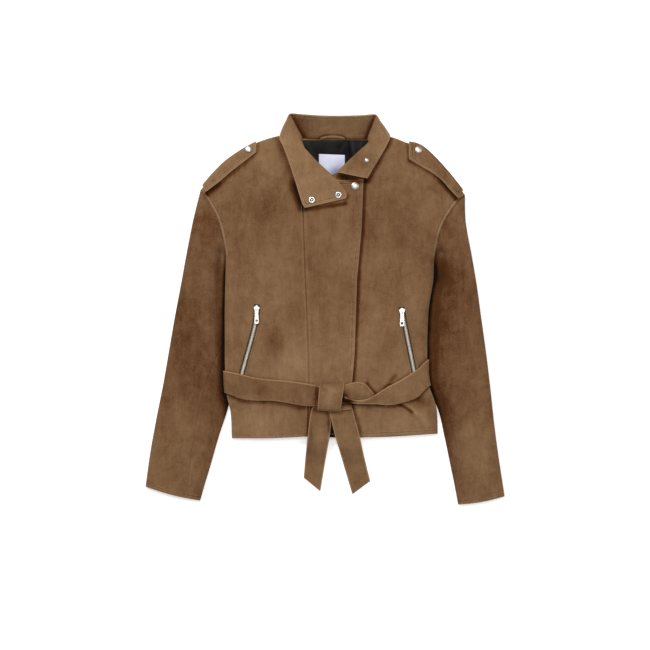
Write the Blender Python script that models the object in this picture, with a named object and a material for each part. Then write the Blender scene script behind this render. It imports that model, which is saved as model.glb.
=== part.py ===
"""A suede jacket laid flat on its back, with its belt tied.

Its length runs along Y with the collar at +Y, its width along X, and the floor is z = 0. The wearer's
right lies at -X. Every length below is in millimetres, and solids are made in metres at the end.
"""

import bpy
import numpy as np
from mathutils import Vector
from mathutils.bvhtree import BVHTree

for old in list(bpy.data.objects):
    bpy.data.objects.remove(old)

MM = 0.001
SUEDE = 1.5  # one layer
DOUBLED = 2.3  # collar and epaulettes
BELT = 2.4
BELT_ROOM = 3.8  # how far the back lies off the floor over the belt
SATIN = 0.8
SEAM = 0.4  # gap left along every seam
LAP = 0.7  # gap under what lies on a panel
UNDER_LAP = 1.1  # gap between the back and what passes below it
OVERLAP_DROP = 2.15  # how much lower the left front lies where the placket covers it

# Outline of each side of the body, from the shoulder tip down the armhole to the armpit and the hem: x, y.
ARMPIT_ROW = 5
SIDE_RIGHT = [
    (-258, 220), (-251.2, 207.4), (-238, 188), (-223, 157.6), (-213.5, 122), (-208, 88),
    (-209, 40), (-210, -20), (-210, -80), (-209.5, -135), (-207, -185), (-198, -226), (-196, -276),
]
SIDE_LEFT = [
    (269, 210), (255.4, 196.6), (236, 170), (222, 142), (213, 108), (208, 80),
    (206, 40), (197.5, -14), (195, -60), (194, -112), (195.5, -162), (212, -214), (215, -267),
]
SHOULDER_RIGHT = [
    (-258, 220), (-232, 250), (-208, 274), (-180, 294), (-150, 312.5), (-108, 326.5), (-72, 330),
]
SHOULDER_LEFT = [
    (269, 210), (247, 238), (226, 263), (204, 287), (182, 306), (156, 313), (124, 325), (90, 330),
]
BACK_NECK = [(-72, 330), (-56, 326), (10, 324.5), (76, 324.5), (90, 330)]

# Heights along the side and armhole edge: y, outer face of the front, outer face of the back, and how far
# in the back is lifted.
EDGE = np.array([
    (-276, 7.8, 4.0, 40), (-224, 11.8, 7.7, 50), (-200, 12.4, 8.2, 62), (-160, 12.4, 8.2, 75),
    (-110, 12.4, 8.2, 85), (-60, 12.4, 8.2, 88), (0, 12.4, 8.2, 85), (40, 12.4, 8.2, 75),
    (92, 12.4, 8.2, 60), (108, 15.0, 3.5, 50), (126, 18.0, 0.0, 40), (165, 18.0, 0.0, 40),
    (192, 14.0, 2.5, 50), (216, 9.9, 5.9, 60), (232, 9.9, 5.9, 60), (276, 9.5, 5.5, 60),
    (312, 8.3, 4.3, 60), (330, 4.6, 0.8, 60),
])
# Height of the front's outer face along its middle: y, z.
CROWN = np.array([
    (-276, 15.0), (-235, 19.5), (-205, 20.5), (-165, 21.0), (-125, 22.0), (-60, 23.5), (60, 24.5),
    (150, 24.5), (200, 23.5), (240, 21.5), (270, 18.5), (300, 14.5), (330, 10.0),
])
# Large soft folds of the fronts: x and y of both ends, half width, height.
FOLDS = [
    (96, -150, 101, -126, 5, -1.3), (108, -146, 116, -120, 5, 1.4), (119, -144, 128, -122, 5, -1.2),
    (139, -210, 172, -228, 8, 1.6), (180, -196, 190, -214, 9, -1.6), (187, -25, 183, -100, 11, -1.5),
    (-190, -206, -150, -214, 8, 1.2), (-170, -222, -120, -250, 14, -1.0), (-185, 60, -130, -10, 22, -0.9),
    (165, 95, 120, 30, 24, -0.9), (-120, 235, -170, 175, 20, -0.8), (-62, -228, -64, -262, 9, -0.9),
    (78, -214, 84, -262, 9, -1.0),
]

# Placket: its seam on the right front and its free edge, as y, x, and its top edge from seam to corner.
PLACKET_SEAM = np.array([
    (-272.5, -44.8), (-214, -43.4), (-164, -41.8), (-60, -44.2), (40, -48.6), (184, -54.0),
    (306, -57.0), (330, -72.0),
])
# Height y of the right front's inner edge beside each row of its side, and the left front's hidden edge
# as x, y.
RIGHT_INNER_Y = [330, 306, 280, 240, 190, 135, 70, -5, -75, -135, -183, -224, -272.5]
LEFT_INNER = [
    (90, 330), (58, 292.5), (25, 261), (4, 250), (-22, 244), (-24, 190), (-23, 110),
    (-21, 20), (-19, -50), (-17, -110), (-16, -170), (-17, -216), (-18, -274),
]
PLACKET_EDGE = np.array([(-276, 38.0), (-164, 44.0), (-112, 48.8), (40, 54.0), (140, 63.0), (243, 67.2)])
PLACKET_TOP = [
    (-57, 306), (-48, 296.3), (-38.9, 284.6), (-22.5, 268), (-7.8, 254.6), (6.2, 242.5), (21, 239),
    (43, 239.4), (66.6, 240.6),
]

# Collar, from the front end on the wearer's right round the neck to the other: roll line x, y, z,
# cut edge x, y, z, and how far the section is a turned-over one (1) or a plain leaning one (0).
COLLAR = [
    (32, 203, 27.6, -50, 184, 27.8, 0.0), (33.5, 211, 27.8, -54.5, 191, 27.8, 0.0),
    (26, 224, 28.4, -59.5, 206, 27.5, 0.0), (11, 242.6, 29.2, -65.5, 225, 26.8, 0.35),
    (-3, 256, 29.6, -70.6, 241, 25.5, 0.75), (-17.6, 269.2, 29.4, -75.8, 257, 24.0, 1.0),
    (-34, 285.6, 28.2, -82.2, 276, 21.5, 1.0), (-43, 296, 26.0, -88, 292, 19.5, 1.0),
    (-50.2, 304, 22.5, -94, 308, 17.5, 0.9), (-54.5, 315, 15.0, -100.8, 323.5, 15.5, 0.5),
    (-57, 321.6, 9.5, -95.8, 341, 19.0, 0.15), (-57, 323.2, 6.6, -87.5, 358, 24.0, 0.0),
    (-54.5, 323.6, 5.3, -79.6, 370.6, 29.5, 0.0), (-36, 323.2, 5.1, -54, 369.3, 30.0, 0.0),
    (-10, 322.6, 5.1, -16, 367, 30.0, 0.0), (20, 322, 5.1, 26, 366.6, 30.0, 0.0),
    (50, 321.6, 5.2, 62, 367.5, 30.0, 0.0), (72.5, 321.4, 5.3, 90.4, 368.8, 29.5, 0.0),
    (75.5, 320.8, 6.6, 101.5, 355, 24.5, 0.0), (76.6, 319.4, 9.5, 111.5, 341.5, 20.0, 0.15),
    (76, 315.6, 14.0, 119.8, 326, 16.0, 0.5), (71.5, 310, 19.5, 113.5, 309.5, 17.0, 0.9),
    (60, 300, 23.5, 105.5, 295, 19.0, 1.0), (45, 286, 25.5, 96.5, 280, 21.5, 1.0),
    (29.4, 271.2, 26.5, 87, 264.5, 23.5, 1.0), (20, 262, 26.5, 80.5, 253, 24.6, 1.0),
    (13.5, 255, 26.3, 74.6, 243, 25.3, 1.0),
]
STAND_SLOPE = np.radians(125)  # slope of the stand where the collar is turned over
ROLL_RADIUS = 3.4

# Sleeves, shoulder to cuff: x, y of the outer fold and of the inner fold, which runs in under the body.
SLEEVE_RIGHT = [
    (-259.3, 220, -209.3, 88), (-274, 160, -211, 46), (-288, 88, -199, -34), (-298, 32, -189, -102),
    (-310, -32, -193, -160), (-321, -96, -204, -216), (-333, -166, -222, -272),
    (-347.6, -240, -238, -328), (-359.4, -306, -250, -368), (-368.6, -372.8, -259.4, -400.6),
]
SLEEVE_LEFT = [
    (270.3, 210, 209.3, 80), (272, 156, 208, 38), (284, 88, 186, -42), (294, 28, 180, -106),
    (302, -32, 190, -162), (312, -104, 216, -219), (320.6, -176, 228.6, -272),
    (328.6, -250, 239, -322), (338, -320, 248.4, -368), (349, -392, 256, -408.6),
]
# Where the front seam of each sleeve lies across it, shoulder to cuff: 0 on the outer fold, 1 on the inner.
SEAM_RIGHT = [0.97, 0.96, 0.90, 0.76, 0.64, 0.61, 0.64, 0.70, 0.78]
SEAM_LEFT = [0.96, 0.96, 0.96, 0.94, 0.88, 0.83, 0.81, 0.83, 0.86]
SLEEVE_CROWN = [18.0, 18.0, 17.5, 17.0, 16.0, 15.5, 14.5, 13.5, 12.0, 11.0]
SLEEVE_FOLD = [6.0, 5.5, 5.0, 5.0, 5.0, 5.0, 5.0, 4.8, 4.6, 4.6]
CUFF_BULGE = 3.0

# Epaulettes, inner end to shoulder tip: x, y on the shoulder fold and x, y of the edge over the front.
EPAULETTE_RIGHT = [
    (-148.5, 312.6, -148.2, 294.4), (-180, 294, -168, 279), (-208, 274, -194, 259),
    (-232, 250, -220, 237), (-253, 226, -248, 216),
]
EPAULETTE_LEFT = [
    (158.5, 312.4, 158, 281), (174, 309, 170, 273.5), (190, 300, 185, 264.5), (210, 281, 202, 255),
    (230, 259, 222, 240), (248, 237, 239, 221), (263.5, 217, 255.5, 203.5),
]

# Belt over the front, side to knot: x, y of its upper edge and of its lower edge.
BELT_RIGHT = [
    (-207, -142, -203, -185.5), (-180, -148, -180, -196), (-150.6, -155.2, -150, -200.5),
    (-116, -159.5, -116, -201), (-82, -162, -86, -205), (-34.6, -169.2, -50, -211), (-10, -175, -12, -212),
]
BELT_LEFT = [
    (195, -119.4, 197, -170.4), (184.4, -131.4, 184.4, -185.6), (169.2, -142.2, 169.2, -196.4),
    (140, -160.8, 143.2, -205.2), (113.4, -174.8, 118, -209.6), (94.8, -186.8, 95, -208),
    (77, -196.6, 77, -207.5), (58, -200.4, 58, -207.2), (40, -197.6, 40, -205), (29, -193, 29, -201),
]
# Extra height of the left part of the belt as it climbs to the knot.
BELT_CLIMB = [0, 0, 0, 0.4, 2.0, 3.6, 5.0, 5.6, 5.2, 4.6]

# Zips: x, y of the slider's pivot, of the chain's top end and of its lower end under the belt.
ZIP_RIGHT = ((-146.5, -17), (-145.5, -9), (-149.6, -50), (-178.5, -156))
ZIP_LEFT = ((143.8, -22), (142.5, -14), (149.6, -51), (169.6, -150))

BROWN = (0.195, 0.107, 0.051)
DARK_BROWN = (0.135, 0.072, 0.034)
LIGHT_BROWN = (0.246, 0.144, 0.077)
BLACK_SATIN = (0.028, 0.025, 0.024)
WHITE = (0.70, 0.71, 0.78)
SILVER = (0.72, 0.71, 0.69)


def smoothstep(t):
    """0 below 0, 1 above 1 and eased between."""
    t = np.clip(t, 0, 1)
    return t * t * (3 - 2 * t)


def through(table, at):
    """A smooth curve through the table's rows, at 0 on the first row and 1 on the last."""
    rows = np.array(table, float).reshape(len(table), -1)
    t = np.clip(np.asarray(at, float), 0, 1) * (len(rows) - 1)
    k = np.minimum(t.astype(int), len(rows) - 2)
    f = (t - k)[..., None]
    slope = np.gradient(rows, axis=0)
    near = rows[k] * (1 + 2 * f) * (1 - f) ** 2 + slope[k] * f * (1 - f) ** 2
    far = rows[k + 1] * f * f * (3 - 2 * f) + slope[k + 1] * f * f * (f - 1)
    return near + far


def distance(x, y, line):
    """How far each point lies from a line of points."""
    nearest = np.full(np.shape(x), 1e9)
    for (ax, ay), (bx, by) in zip(line[:-1], line[1:]):
        t = ((x - ax) * (bx - ax) + (y - ay) * (by - ay)) / ((bx - ax) ** 2 + (by - ay) ** 2)
        t = np.clip(t, 0, 1)
        nearest = np.minimum(nearest, np.hypot(x - ax - t * (bx - ax), y - ay - t * (by - ay)))
    return nearest


SIDES = [through(SIDE_RIGHT, np.linspace(0, 1, 49)), through(SIDE_LEFT, np.linspace(0, 1, 49))]
SHOULDERS = [through(SHOULDER_RIGHT, np.linspace(0, 1, 25)), through(SHOULDER_LEFT, np.linspace(0, 1, 25))]


def side_x(wearers_right, y):
    """Where the body's edge lies at each height y, from the middle of the armhole down to the hem."""
    line = SIDES[0 if wearers_right else 1][12:]
    return np.interp(y, line[::-1, 1], line[::-1, 0])


def to_sides(x, y):
    return np.minimum(distance(x, y, SIDES[0]), distance(x, y, SIDES[1]))


def to_shoulders(x, y):
    return np.minimum(distance(x, y, SHOULDERS[0]), distance(x, y, SHOULDERS[1]))


def edge_column(y, column):
    return np.interp(y, EDGE[:, 0], EDGE[:, column])


def belt_lift(x, y):
    """Height that the belt takes up under the back: level over the belt, easing out beside it."""
    off = np.abs(y - (-155 + 0.045 * x))
    return BELT_ROOM * (1 - smoothstep((off - 34) / 24))


def back_height(x, y):
    """Outer face of the back: the floor, lifted along the sides over the sleeves and at the shoulders."""
    sides = edge_column(y, 2) * (1 - smoothstep(to_sides(x, y) / edge_column(y, 3)))
    shoulders = edge_column(y, 2) * (1 - smoothstep(to_shoulders(x, y) / 60)) * (y > 205)
    return np.maximum(sides, shoulders) + belt_lift(x, y)


def rise(d, reach):
    """0 on an edge and 1 at `reach` from it: a short rounded step, then a long gentle slope."""
    near = 1 - (1 - np.clip(d / 9, 0, 1)) ** 2.5
    far = 1 - (1 - np.clip(d / reach, 0, 1)) ** 2.2
    return 0.3 * near + 0.7 * far


def front_folds(x, y):
    """Sum of ridges and troughs, each a bell across its line that fades past both ends."""
    total = np.zeros(np.shape(x))
    for ax, ay, bx, by, width, height in FOLDS:
        total += height * np.exp(-(distance(x, y, [(ax, ay), (bx, by)]) / width) ** 2)
    return total


def front_height(x, y):
    """Outer face of the right front and placket: edge height, rising to the crown away from the edges."""
    edge = edge_column(y, 1) + belt_lift(x, y)
    crown = np.interp(y, CROWN[:, 0], CROWN[:, 1]) + front_folds(x, y)
    return edge + (crown - edge) * rise(to_sides(x, y), 95) * rise(to_shoulders(x, y), 90)


def left_front_height(x, y):
    """Outer face of the left front: lower where the placket covers it, level with the rest farther out."""
    covered = (1 - smoothstep((x - 75) / 75)) * (1 - smoothstep((y - 255) / 45))
    return front_height(x, y) - OVERLAP_DROP * covered


def cover_height(x, y):
    """Top of whichever front is uppermost, easing down past the placket's free edge."""
    past = x - np.interp(y, PLACKET_EDGE[:, 0], PLACKET_EDGE[:, 1])
    t = smoothstep((past - 3) / 12)
    return front_height(x, y) * (1 - t) + left_front_height(x, y) * t


def surface(height, x, y, off=0.0):
    """Points of a height function moved out by `off` along its normals, upwards."""
    step = 0.5
    dx = (height(x + step, y) - height(x - step, y)) / (2 * step)
    dy = (height(x, y + step) - height(x, y - step)) / (2 * step)
    normal = np.stack([-dx, -dy, np.ones_like(dx)], -1)
    normal /= np.linalg.norm(normal, axis=-1, keepdims=True)
    return np.stack([x, y, height(x, y)], -1) + normal * np.asarray(off)[..., None]


def normals(grid, up):
    """Unit normals of a grid of points, pointing upwards on the whole, or downwards."""
    n = np.cross(np.gradient(grid, axis=0), np.gradient(grid, axis=1))
    n /= np.maximum(np.linalg.norm(n, axis=-1, keepdims=True), 1e-9)
    return n if (n[..., 2].mean() > 0) == up else -n


def material(name, colour, roughness, metallic):
    made = bpy.data.materials.new(name)
    made.use_nodes = True
    principled = made.node_tree.nodes["Principled BSDF"]
    principled.inputs["Base Color"].default_value = (*colour, 1)
    principled.inputs["Roughness"].default_value = roughness
    principled.inputs["Metallic"].default_value = metallic
    made.diffuse_color = (*colour, 1)
    return made


BODY_SUEDE = material("suede_body", BROWN, 0.95, 0)
SLEEVE_SUEDE = material("suede_sleeves", DARK_BROWN, 0.95, 0)
TRIM_SUEDE = material("suede_collar_and_belt", LIGHT_BROWN, 0.95, 0)
LINING_SATIN = material("satin_lining", BLACK_SATIN, 0.4, 0)
LABEL_CLOTH = material("label_cloth", WHITE, 0.8, 0)
STEEL = material("polished_steel", SILVER, 0.25, 1)


def add(name, points, faces, look, at=(0, 0, 0)):
    """An object whose faces point outwards, from points in millimetres."""
    fans = np.array([(f[0], f[k], f[k + 1]) for f in faces for k in range(1, len(f) - 1)])
    a, b, c = (points[fans[:, k]] for k in range(3))
    if (a * np.cross(b, c)).sum() < 0:
        faces = [f[::-1] for f in faces]
    mesh = bpy.data.meshes.new(name)
    mesh.from_pydata((points * MM).tolist(), [], faces)
    mesh.materials.append(look)
    made = bpy.data.objects.new(name, mesh)
    made.location = Vector(at) * MM
    bpy.context.scene.collection.objects.link(made)
    return made


def solid(name, outer, inner, look):
    """A closed solid between two grids of points with the same rows, columns and diagonals."""
    rows, columns = outer.shape[:2]
    index = np.arange(rows * columns).reshape(rows, columns)
    a, b, c, d = index[:-1, :-1], index[1:, :-1], index[1:, 1:], index[:-1, 1:]
    wall = np.concatenate([np.stack([a, b, c], -1).reshape(-1, 3), np.stack([a, c, d], -1).reshape(-1, 3)])
    rim = np.concatenate([index[:, 0], index[-1, 1:], index[-2::-1, -1], index[0, -2:0:-1]])
    following = np.roll(rim, -1)
    below = rows * columns
    edge = np.stack([rim, rim + below, following + below, following], -1)
    points = np.concatenate([outer.reshape(-1, 3), inner.reshape(-1, 3)])
    return add(name, points, wall.tolist() + (wall[:, ::-1] + below).tolist() + edge.tolist(), look)


def panel(left, right, rows, columns, top=None, bottom=None):
    """x, y grid between two side curves; `top` and `bottom` bend the first and last row, fading inwards."""
    v = np.asarray(rows)[:, None]
    u = np.asarray(columns)[None, :]
    a, b = left(v), right(v)
    grid = a * (1 - u[..., None]) + b * u[..., None]
    for curve, row, fade in ((top, 0, 1 - v), (bottom, -1, v)):
        if curve is not None:
            straight = a[row] * (1 - u[0][:, None]) + b[row] * u[0][:, None]
            grid = grid + fade[..., None] * (through(curve, u[0]) - straight)[None]
    return grid[..., 0], grid[..., 1]


def clustered(count, strength=0.6, ends="both"):
    """Values from 0 to 1 that lie closer together near the named ends."""
    t = np.linspace(0, 1, count)
    eased = {"both": smoothstep(t), "start": t * t, "end": 1 - (1 - t) ** 2}[ends]
    return t * (1 - strength) + eased * strength


def two_faces(name, height, x, y, low, high, look):
    """A solid that lies on a height function, from `low` to `high` above it."""
    return solid(name, surface(height, x, y, high), surface(height, x, y, low), look)


def back():
    """The back is flat on the floor and lifted along its borders."""
    x, y = panel(
        lambda v: through(SIDE_RIGHT, v), lambda v: through(SIDE_LEFT, v),
        np.linspace(0, 1, 28), clustered(16, 0.35),
        top=SHOULDER_RIGHT + BACK_NECK[1:] + SHOULDER_LEFT[-2::-1],
        bottom=[(-196, -276), (-60, -273), (90, -274), (215, -267)],
    )
    low = np.stack([x, y, back_height(x, y)], -1)
    solid("back", low, low + [0, 0, SUEDE], BODY_SUEDE)


def front_right():
    """The right front ends at the placket's seam."""

    def seam_side(v):
        y = through(RIGHT_INNER_Y, v)[..., 0]
        x = np.interp(y, PLACKET_SEAM[:, 0], PLACKET_SEAM[:, 1])
        return np.stack([x - 1.5 * SEAM * (y < 306), y], -1)

    x, y = panel(
        lambda v: through(SIDE_RIGHT, v), seam_side, clustered(23, 0.2), clustered(11, 0.8, "start"),
        top=SHOULDER_RIGHT, bottom=[(-196, -276), (-120, -276), (-44.8 - SEAM, -272.5)],
    )
    two_faces("front_right", front_height, x, y, -SUEDE, 0, BODY_SUEDE)


def front_left():
    """The left front runs on under the placket."""
    x, y = panel(
        lambda v: through(SIDE_LEFT, v), lambda v: through(LEFT_INNER, v),
        clustered(25, 0.2), clustered(14, 0.75, "start"),
        top=SHOULDER_LEFT, bottom=[(215, -267), (120, -271.5), (50, -275), (-18, -274)],
    )
    two_faces("front_left", left_front_height, x, y, -SUEDE, 0, BODY_SUEDE)


def placket():
    """The overlap panel, straight-sided, its top following the neckline."""

    def edge(line, first, last):
        def at(v):
            y = first + (last - first) * v
            return np.stack([np.interp(y, line[:, 0], line[:, 1]), y], -1)

        return at

    x, y = panel(
        edge(PLACKET_SEAM, 306, -272.5), edge(PLACKET_EDGE, 240.6, -275),
        np.linspace(0, 1, 19), np.linspace(0, 1, 7), top=PLACKET_TOP,
    )
    return two_faces("placket", front_height, x, y, -SUEDE, 0, BODY_SUEDE)


def sleeve_limit(wearers_right, x, y):
    """Highest a sleeve may reach below the armpit, where the body's side lies over it."""
    out = (side_x(True, y) - x) if wearers_right else (x - side_x(False, y))
    lift = edge_column(np.minimum(y, 86), 2)
    tucked = lift * (1 - smoothstep(-out / edge_column(y, 3)))
    flat = 10 if wearers_right else 13
    limit = np.where(out < 0, tucked, lift + 0.9 * np.maximum(out - flat, 0))
    return limit - 0.9 - 0.5 * (y > 30) + np.maximum(y - 95, 0)


def sleeve_walls(wearers_right, v, phi):
    """Outer and inner points of a sleeve at v from shoulder to cuff and phi round it.

    phi is 0 on the outer fold, goes over the top to pi on the inner fold, and back below. The section is a
    flattened loop: a crown above, the floor below, both reaching the fold's height at the folds. At the
    armhole it takes the heights of the body's walls. Inner points lie in by the cloth's thickness, along
    the section at the folds and upright between them.
    """
    table = np.array(SLEEVE_RIGHT if wearers_right else SLEEVE_LEFT, float)
    outer, inner = through(table[:, :2], v), through(table[:, 2:], v)
    heading = (inner - outer) / np.linalg.norm(inner - outer, axis=-1, keepdims=True)
    side = SIDE_RIGHT if wearers_right else SIDE_LEFT
    across = (1 - np.cos(phi)) / 2
    armhole = through(side, across * ARMPIT_ROW / (len(side) - 1))
    armhole = armhole + [-1.3 if wearers_right else 1.3, 0]
    straight = table[0, :2] * (1 - across[..., None]) + table[0, 2:] * across[..., None]
    xy = outer * (1 - across[..., None]) + inner * across[..., None]
    xy = xy + ((1 - v) ** 2)[..., None] * (armhole - straight)
    end = np.array([-0.25, -0.97]) if wearers_right else np.array([0.17, -0.98])
    xy = xy + (CUFF_BULGE * v**6 * np.sin(np.pi * across))[..., None] * end
    x, y = xy[..., 0], xy[..., 1]
    body = 1 - smoothstep(v / 0.14)
    crown = through(SLEEVE_CROWN, v)[..., 0] * (1 - body) + edge_column(armhole[..., 1], 1) * body
    crown = np.minimum(crown, sleeve_limit(wearers_right, x, y))
    floor = np.minimum(edge_column(armhole[..., 1], 2) * body, np.maximum(crown - 4.8, 0))
    fold = np.minimum(through(SLEEVE_FOLD, v)[..., 0], (crown + floor) / 2)
    fold = np.maximum(fold, floor + SUEDE + 0.3)
    over = np.abs(np.sin(phi)) ** 0.55
    below = 1 - (1 - np.abs(np.sin(phi))) ** 3
    walls = []
    for inset in (0, SUEDE):
        top = fold + (crown - inset - fold) * over
        low = fold - (fold - floor - inset) * below
        level = xy + heading * (inset * np.cos(phi))[..., None]
        walls.append(np.concatenate([level, np.where(np.sin(phi) >= 0, top, low)[..., None]], -1))
    return walls


def sleeve(wearers_right):
    """Upper and under piece, meeting at the outer fold and at the front seam."""
    v = np.concatenate([[0, 0.012, 0.03, 0.06], np.linspace(0.1, 1, 14)])[:, None]
    front_seam = through(SEAM_RIGHT if wearers_right else SEAM_LEFT, v)[..., 0]
    turn = np.arccos(1 - 2 * np.clip(front_seam, 0, 1))
    gap = 0.4 / (120 * np.sin(turn) + 18)
    side = "right" if wearers_right else "left"
    upper = 0.008 + (turn - gap - 0.008) * clustered(11, 0.2)
    to_fold = turn + gap + (np.pi - turn - gap) * np.array([0, 0.35, 0.7, 1.0])
    from_fold = np.pi + (np.pi - 0.008) * clustered(9, 0.35)[1:] + 0 * turn
    for piece, phi in (("upper", upper), ("under", np.concatenate([to_fold, from_fold], 1))):
        solid(f"sleeve_{side}_{piece}", *sleeve_walls(wearers_right, v + 0 * phi, phi), SLEEVE_SUEDE)


def collar_face():
    """Face of the collar that shows: stations along the neck, each from the seam out to the cut edge.

    A station is a stand of one slope, an arc that turns it over to the leaf's slope, and the leaf. Where
    nothing is turned over the stand and arc shrink to short steps along the leaf.
    """
    table = through(COLLAR, np.linspace(0, 1, 40))
    roll, cut, hook = table[:, :3], table[:, 3:6], table[:, 6, None]
    along = cut - roll
    reach = np.linalg.norm(along[:, :2], axis=-1, keepdims=True)
    out = along[:, :2] / reach
    leaf_slope = np.arctan2(along[:, 2, None], reach)
    stand_slope = leaf_slope + hook * (STAND_SLOPE - leaf_slope)
    seam = roll[:, :2] + out * 4
    covered = np.where(seam[:, 0] < 0, front_height(*seam.T), left_front_height(*seam.T))[:, None]
    stand = roll[:, 2, None] - covered - LAP - ROLL_RADIUS * (1 - np.cos(stand_slope))
    stand = hook * np.maximum(stand, 0) / np.maximum(np.sin(stand_slope), 0.5)
    turns = (np.arange(5) + 0.5)[None, :] / 5
    slopes = np.concatenate([stand_slope + [[0, 0]], stand_slope + (leaf_slope - stand_slope) * turns], 1)
    steps = np.concatenate([stand / 2 + [[0, 0]], ROLL_RADIUS * (stand_slope - leaf_slope) / 5 + 0 * turns], 1)
    steps = np.maximum(steps, 1.0)
    h = np.cumsum(np.concatenate([0 * reach, steps * np.cos(slopes)], 1), 1)
    z = np.cumsum(np.concatenate([0 * reach, steps * np.sin(slopes)], 1), 1)
    h = h - h.min(1, keepdims=True)
    z = z + roll[:, 2, None] - hook * z.max(1, keepdims=True)
    share = np.array([0.25, 0.5, 0.75, 1.0])[None, :]
    h = np.concatenate([h, h[:, -1:] + (reach - h[:, -1:]) * share], 1)
    z = np.concatenate([z, z[:, -1:] + (cut[:, 2, None] - z[:, -1:]) * share**1.2], 1)
    xy = roll[:, None, :2] + out[:, None] * h[..., None]
    return np.concatenate([xy, z[..., None]], -1)


def collar():
    """One doubled band: it leans back behind the neck and is turned out on both sides."""
    face = collar_face()
    return solid("collar", face, face - DOUBLED * normals(face, True), TRIM_SUEDE)


def rim_points(edge, inward, q, off):
    """Points round a folded edge, `off` from the cloth: over the front, past the rim, then below the back.

    `edge` holds x, y of the fold and `inward` the unit direction into the body. q holds how far in each
    column over the front lies, how many columns are on the rim, and how far in those below the back lie.
    """
    over, rim, below = q
    columns = []
    for distance_in in over:
        at = edge + inward * distance_in
        columns.append(surface(cover_height, at[..., 0], at[..., 1], off))
    for k in range(rim):
        low, high = edge_column(edge[..., 1], 2), edge_column(edge[..., 1], 1)
        lift = belt_lift(edge[..., 0], edge[..., 1])
        z = lift + (high - 0.3) * (1 - k / (rim - 1)) + (low + 0.3) * k / (rim - 1)
        columns.append(np.concatenate([edge - inward * (off + 0.3), z[..., None]], -1))
    for distance_in in below:
        at = edge + inward * distance_in
        columns.append(under_back(at[..., 0], at[..., 1], off + UNDER_LAP - LAP))
    return columns


def under_back(x, y, off):
    """Points below the back's outer face, moved down along its normals."""
    flipped = surface(lambda a, b: -back_height(a, b), x, y, off)
    return flipped * [1, 1, -1]


def epaulette(name, table):
    """A strap over the shoulder edge: most of it on the front, the rest turned under."""
    rows = through(table, np.linspace(0, 1, 10))
    edge, lower = rows[:, :2], rows[:, 2:]
    width = np.linalg.norm(lower - edge, axis=-1, keepdims=True)
    inward = (lower - edge) / width
    over = [width, width * 0.7, width * 0.45]
    over += [np.minimum(width * share, reach) for share, reach in ((0.3, 7), (0.18, 4), (0.06, 1))]
    q = (over, 2, [1.0, 5.0, 10.0])
    faces = [np.stack(rim_points(edge, inward, q, off), 1) for off in (2 * LAP + DOUBLED, 2 * LAP)]
    return solid(name, *faces, TRIM_SUEDE)


def belt_band(table, at, across):
    """x, y of a belt band's stations and the points across it, 0 on the upper edge."""
    row = through(table, at)
    return row[..., :2] * (1 - across[..., None]) + row[..., 2:] * across[..., None]


def zip_bump(x, across):
    """How far the belt rises where a zip's chain runs in under its upper edge."""
    nearest = np.minimum(np.abs(x + 177), np.abs(x - 168.5))
    return 2.6 * (1 - smoothstep((nearest - 9) / 14)) * (1 - smoothstep((across - 0.35) / 0.6))


def belt():
    """The strap from the knot round the wearer's right side, under the back and up to the knot again."""
    across = np.linspace(0, 1, 4)[None, :]
    ends = {}
    for wearers_right, table in ((True, BELT_RIGHT), (False, BELT_LEFT)):
        sign = 1 if wearers_right else -1
        first = belt_band(table, np.zeros((1, 1)), across)[0]
        edge = np.stack([side_x(wearers_right, first[:, 1]), first[:, 1]], -1)
        at = (np.linspace(1, 0.1, 13) if wearers_right else np.linspace(1, 0.17, 17))[:, None]
        xy = belt_band(table, at + 0 * across, 0 * at + across)
        climb = through(BELT_CLIMB, at)[..., 0] if not wearers_right else 0 * at
        ends[wearers_right] = (xy, climb, edge, np.array([sign, 0.0]))
    faces = []
    for off in (LAP + BELT, LAP):
        rows = []
        for wearers_right in (True, False):
            xy, climb, edge, inward = ends[wearers_right]
            top = surface(cover_height, xy[..., 0], xy[..., 1], off)
            top[..., 2] += climb + zip_bump(xy[..., 0], across)
            turn = rim_points(edge, inward, ([9.0, 4.0, 1.0], 2, [1.0, 6.0, 14.0, 26.0]), off)
            rows.append(np.concatenate([top, np.stack(turn, 0)]))
        right_in = ends[True][2] + ends[True][3] * 40
        left_in = ends[False][2] + ends[False][3] * 40
        share = np.linspace(0, 1, 12)[:, None, None]
        middle = right_in[None] * (1 - share) + left_in[None] * share
        rows.insert(1, under_back(middle[..., 0], middle[..., 1], off + UNDER_LAP - LAP))
        rows[2] = rows[2][::-1]
        faces.append(np.concatenate(rows))
    solid("belt", *faces, TRIM_SUEDE)


def strip(name, left, right, height, thickness, look, columns=5):
    """A strap between two edge lines of x, y, its outer face at height(x, y, along, across)."""
    at = np.linspace(0, 1, 2 * len(left) - 1)[:, None]
    u = np.linspace(0, 1, columns)[None, :]
    xy = through(left, at + 0 * u) * (1 - u[..., None]) + through(right, at + 0 * u) * u[..., None]
    z = height(xy[..., 0], xy[..., 1], at + 0 * u, u + 0 * at)
    face = np.concatenate([xy, z[..., None]], -1)
    return solid(name, face, face - thickness * normals(face, True), look)


def tail_height(x, y, along, across):
    """A tail lies on the front down to the hem and falls past it to the floor."""
    hem = front_height(x, np.full_like(y, -272.0)) + LAP + BELT
    falling = BELT + 0.3 + (hem - BELT - 0.3) * (1 - smoothstep((-276 - y) / 62))
    lying = cover_height(x, np.maximum(y, -272)) + LAP + BELT + 0.3
    return np.where(y > -272, lying, falling + 0.3 * (y > -300))


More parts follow.
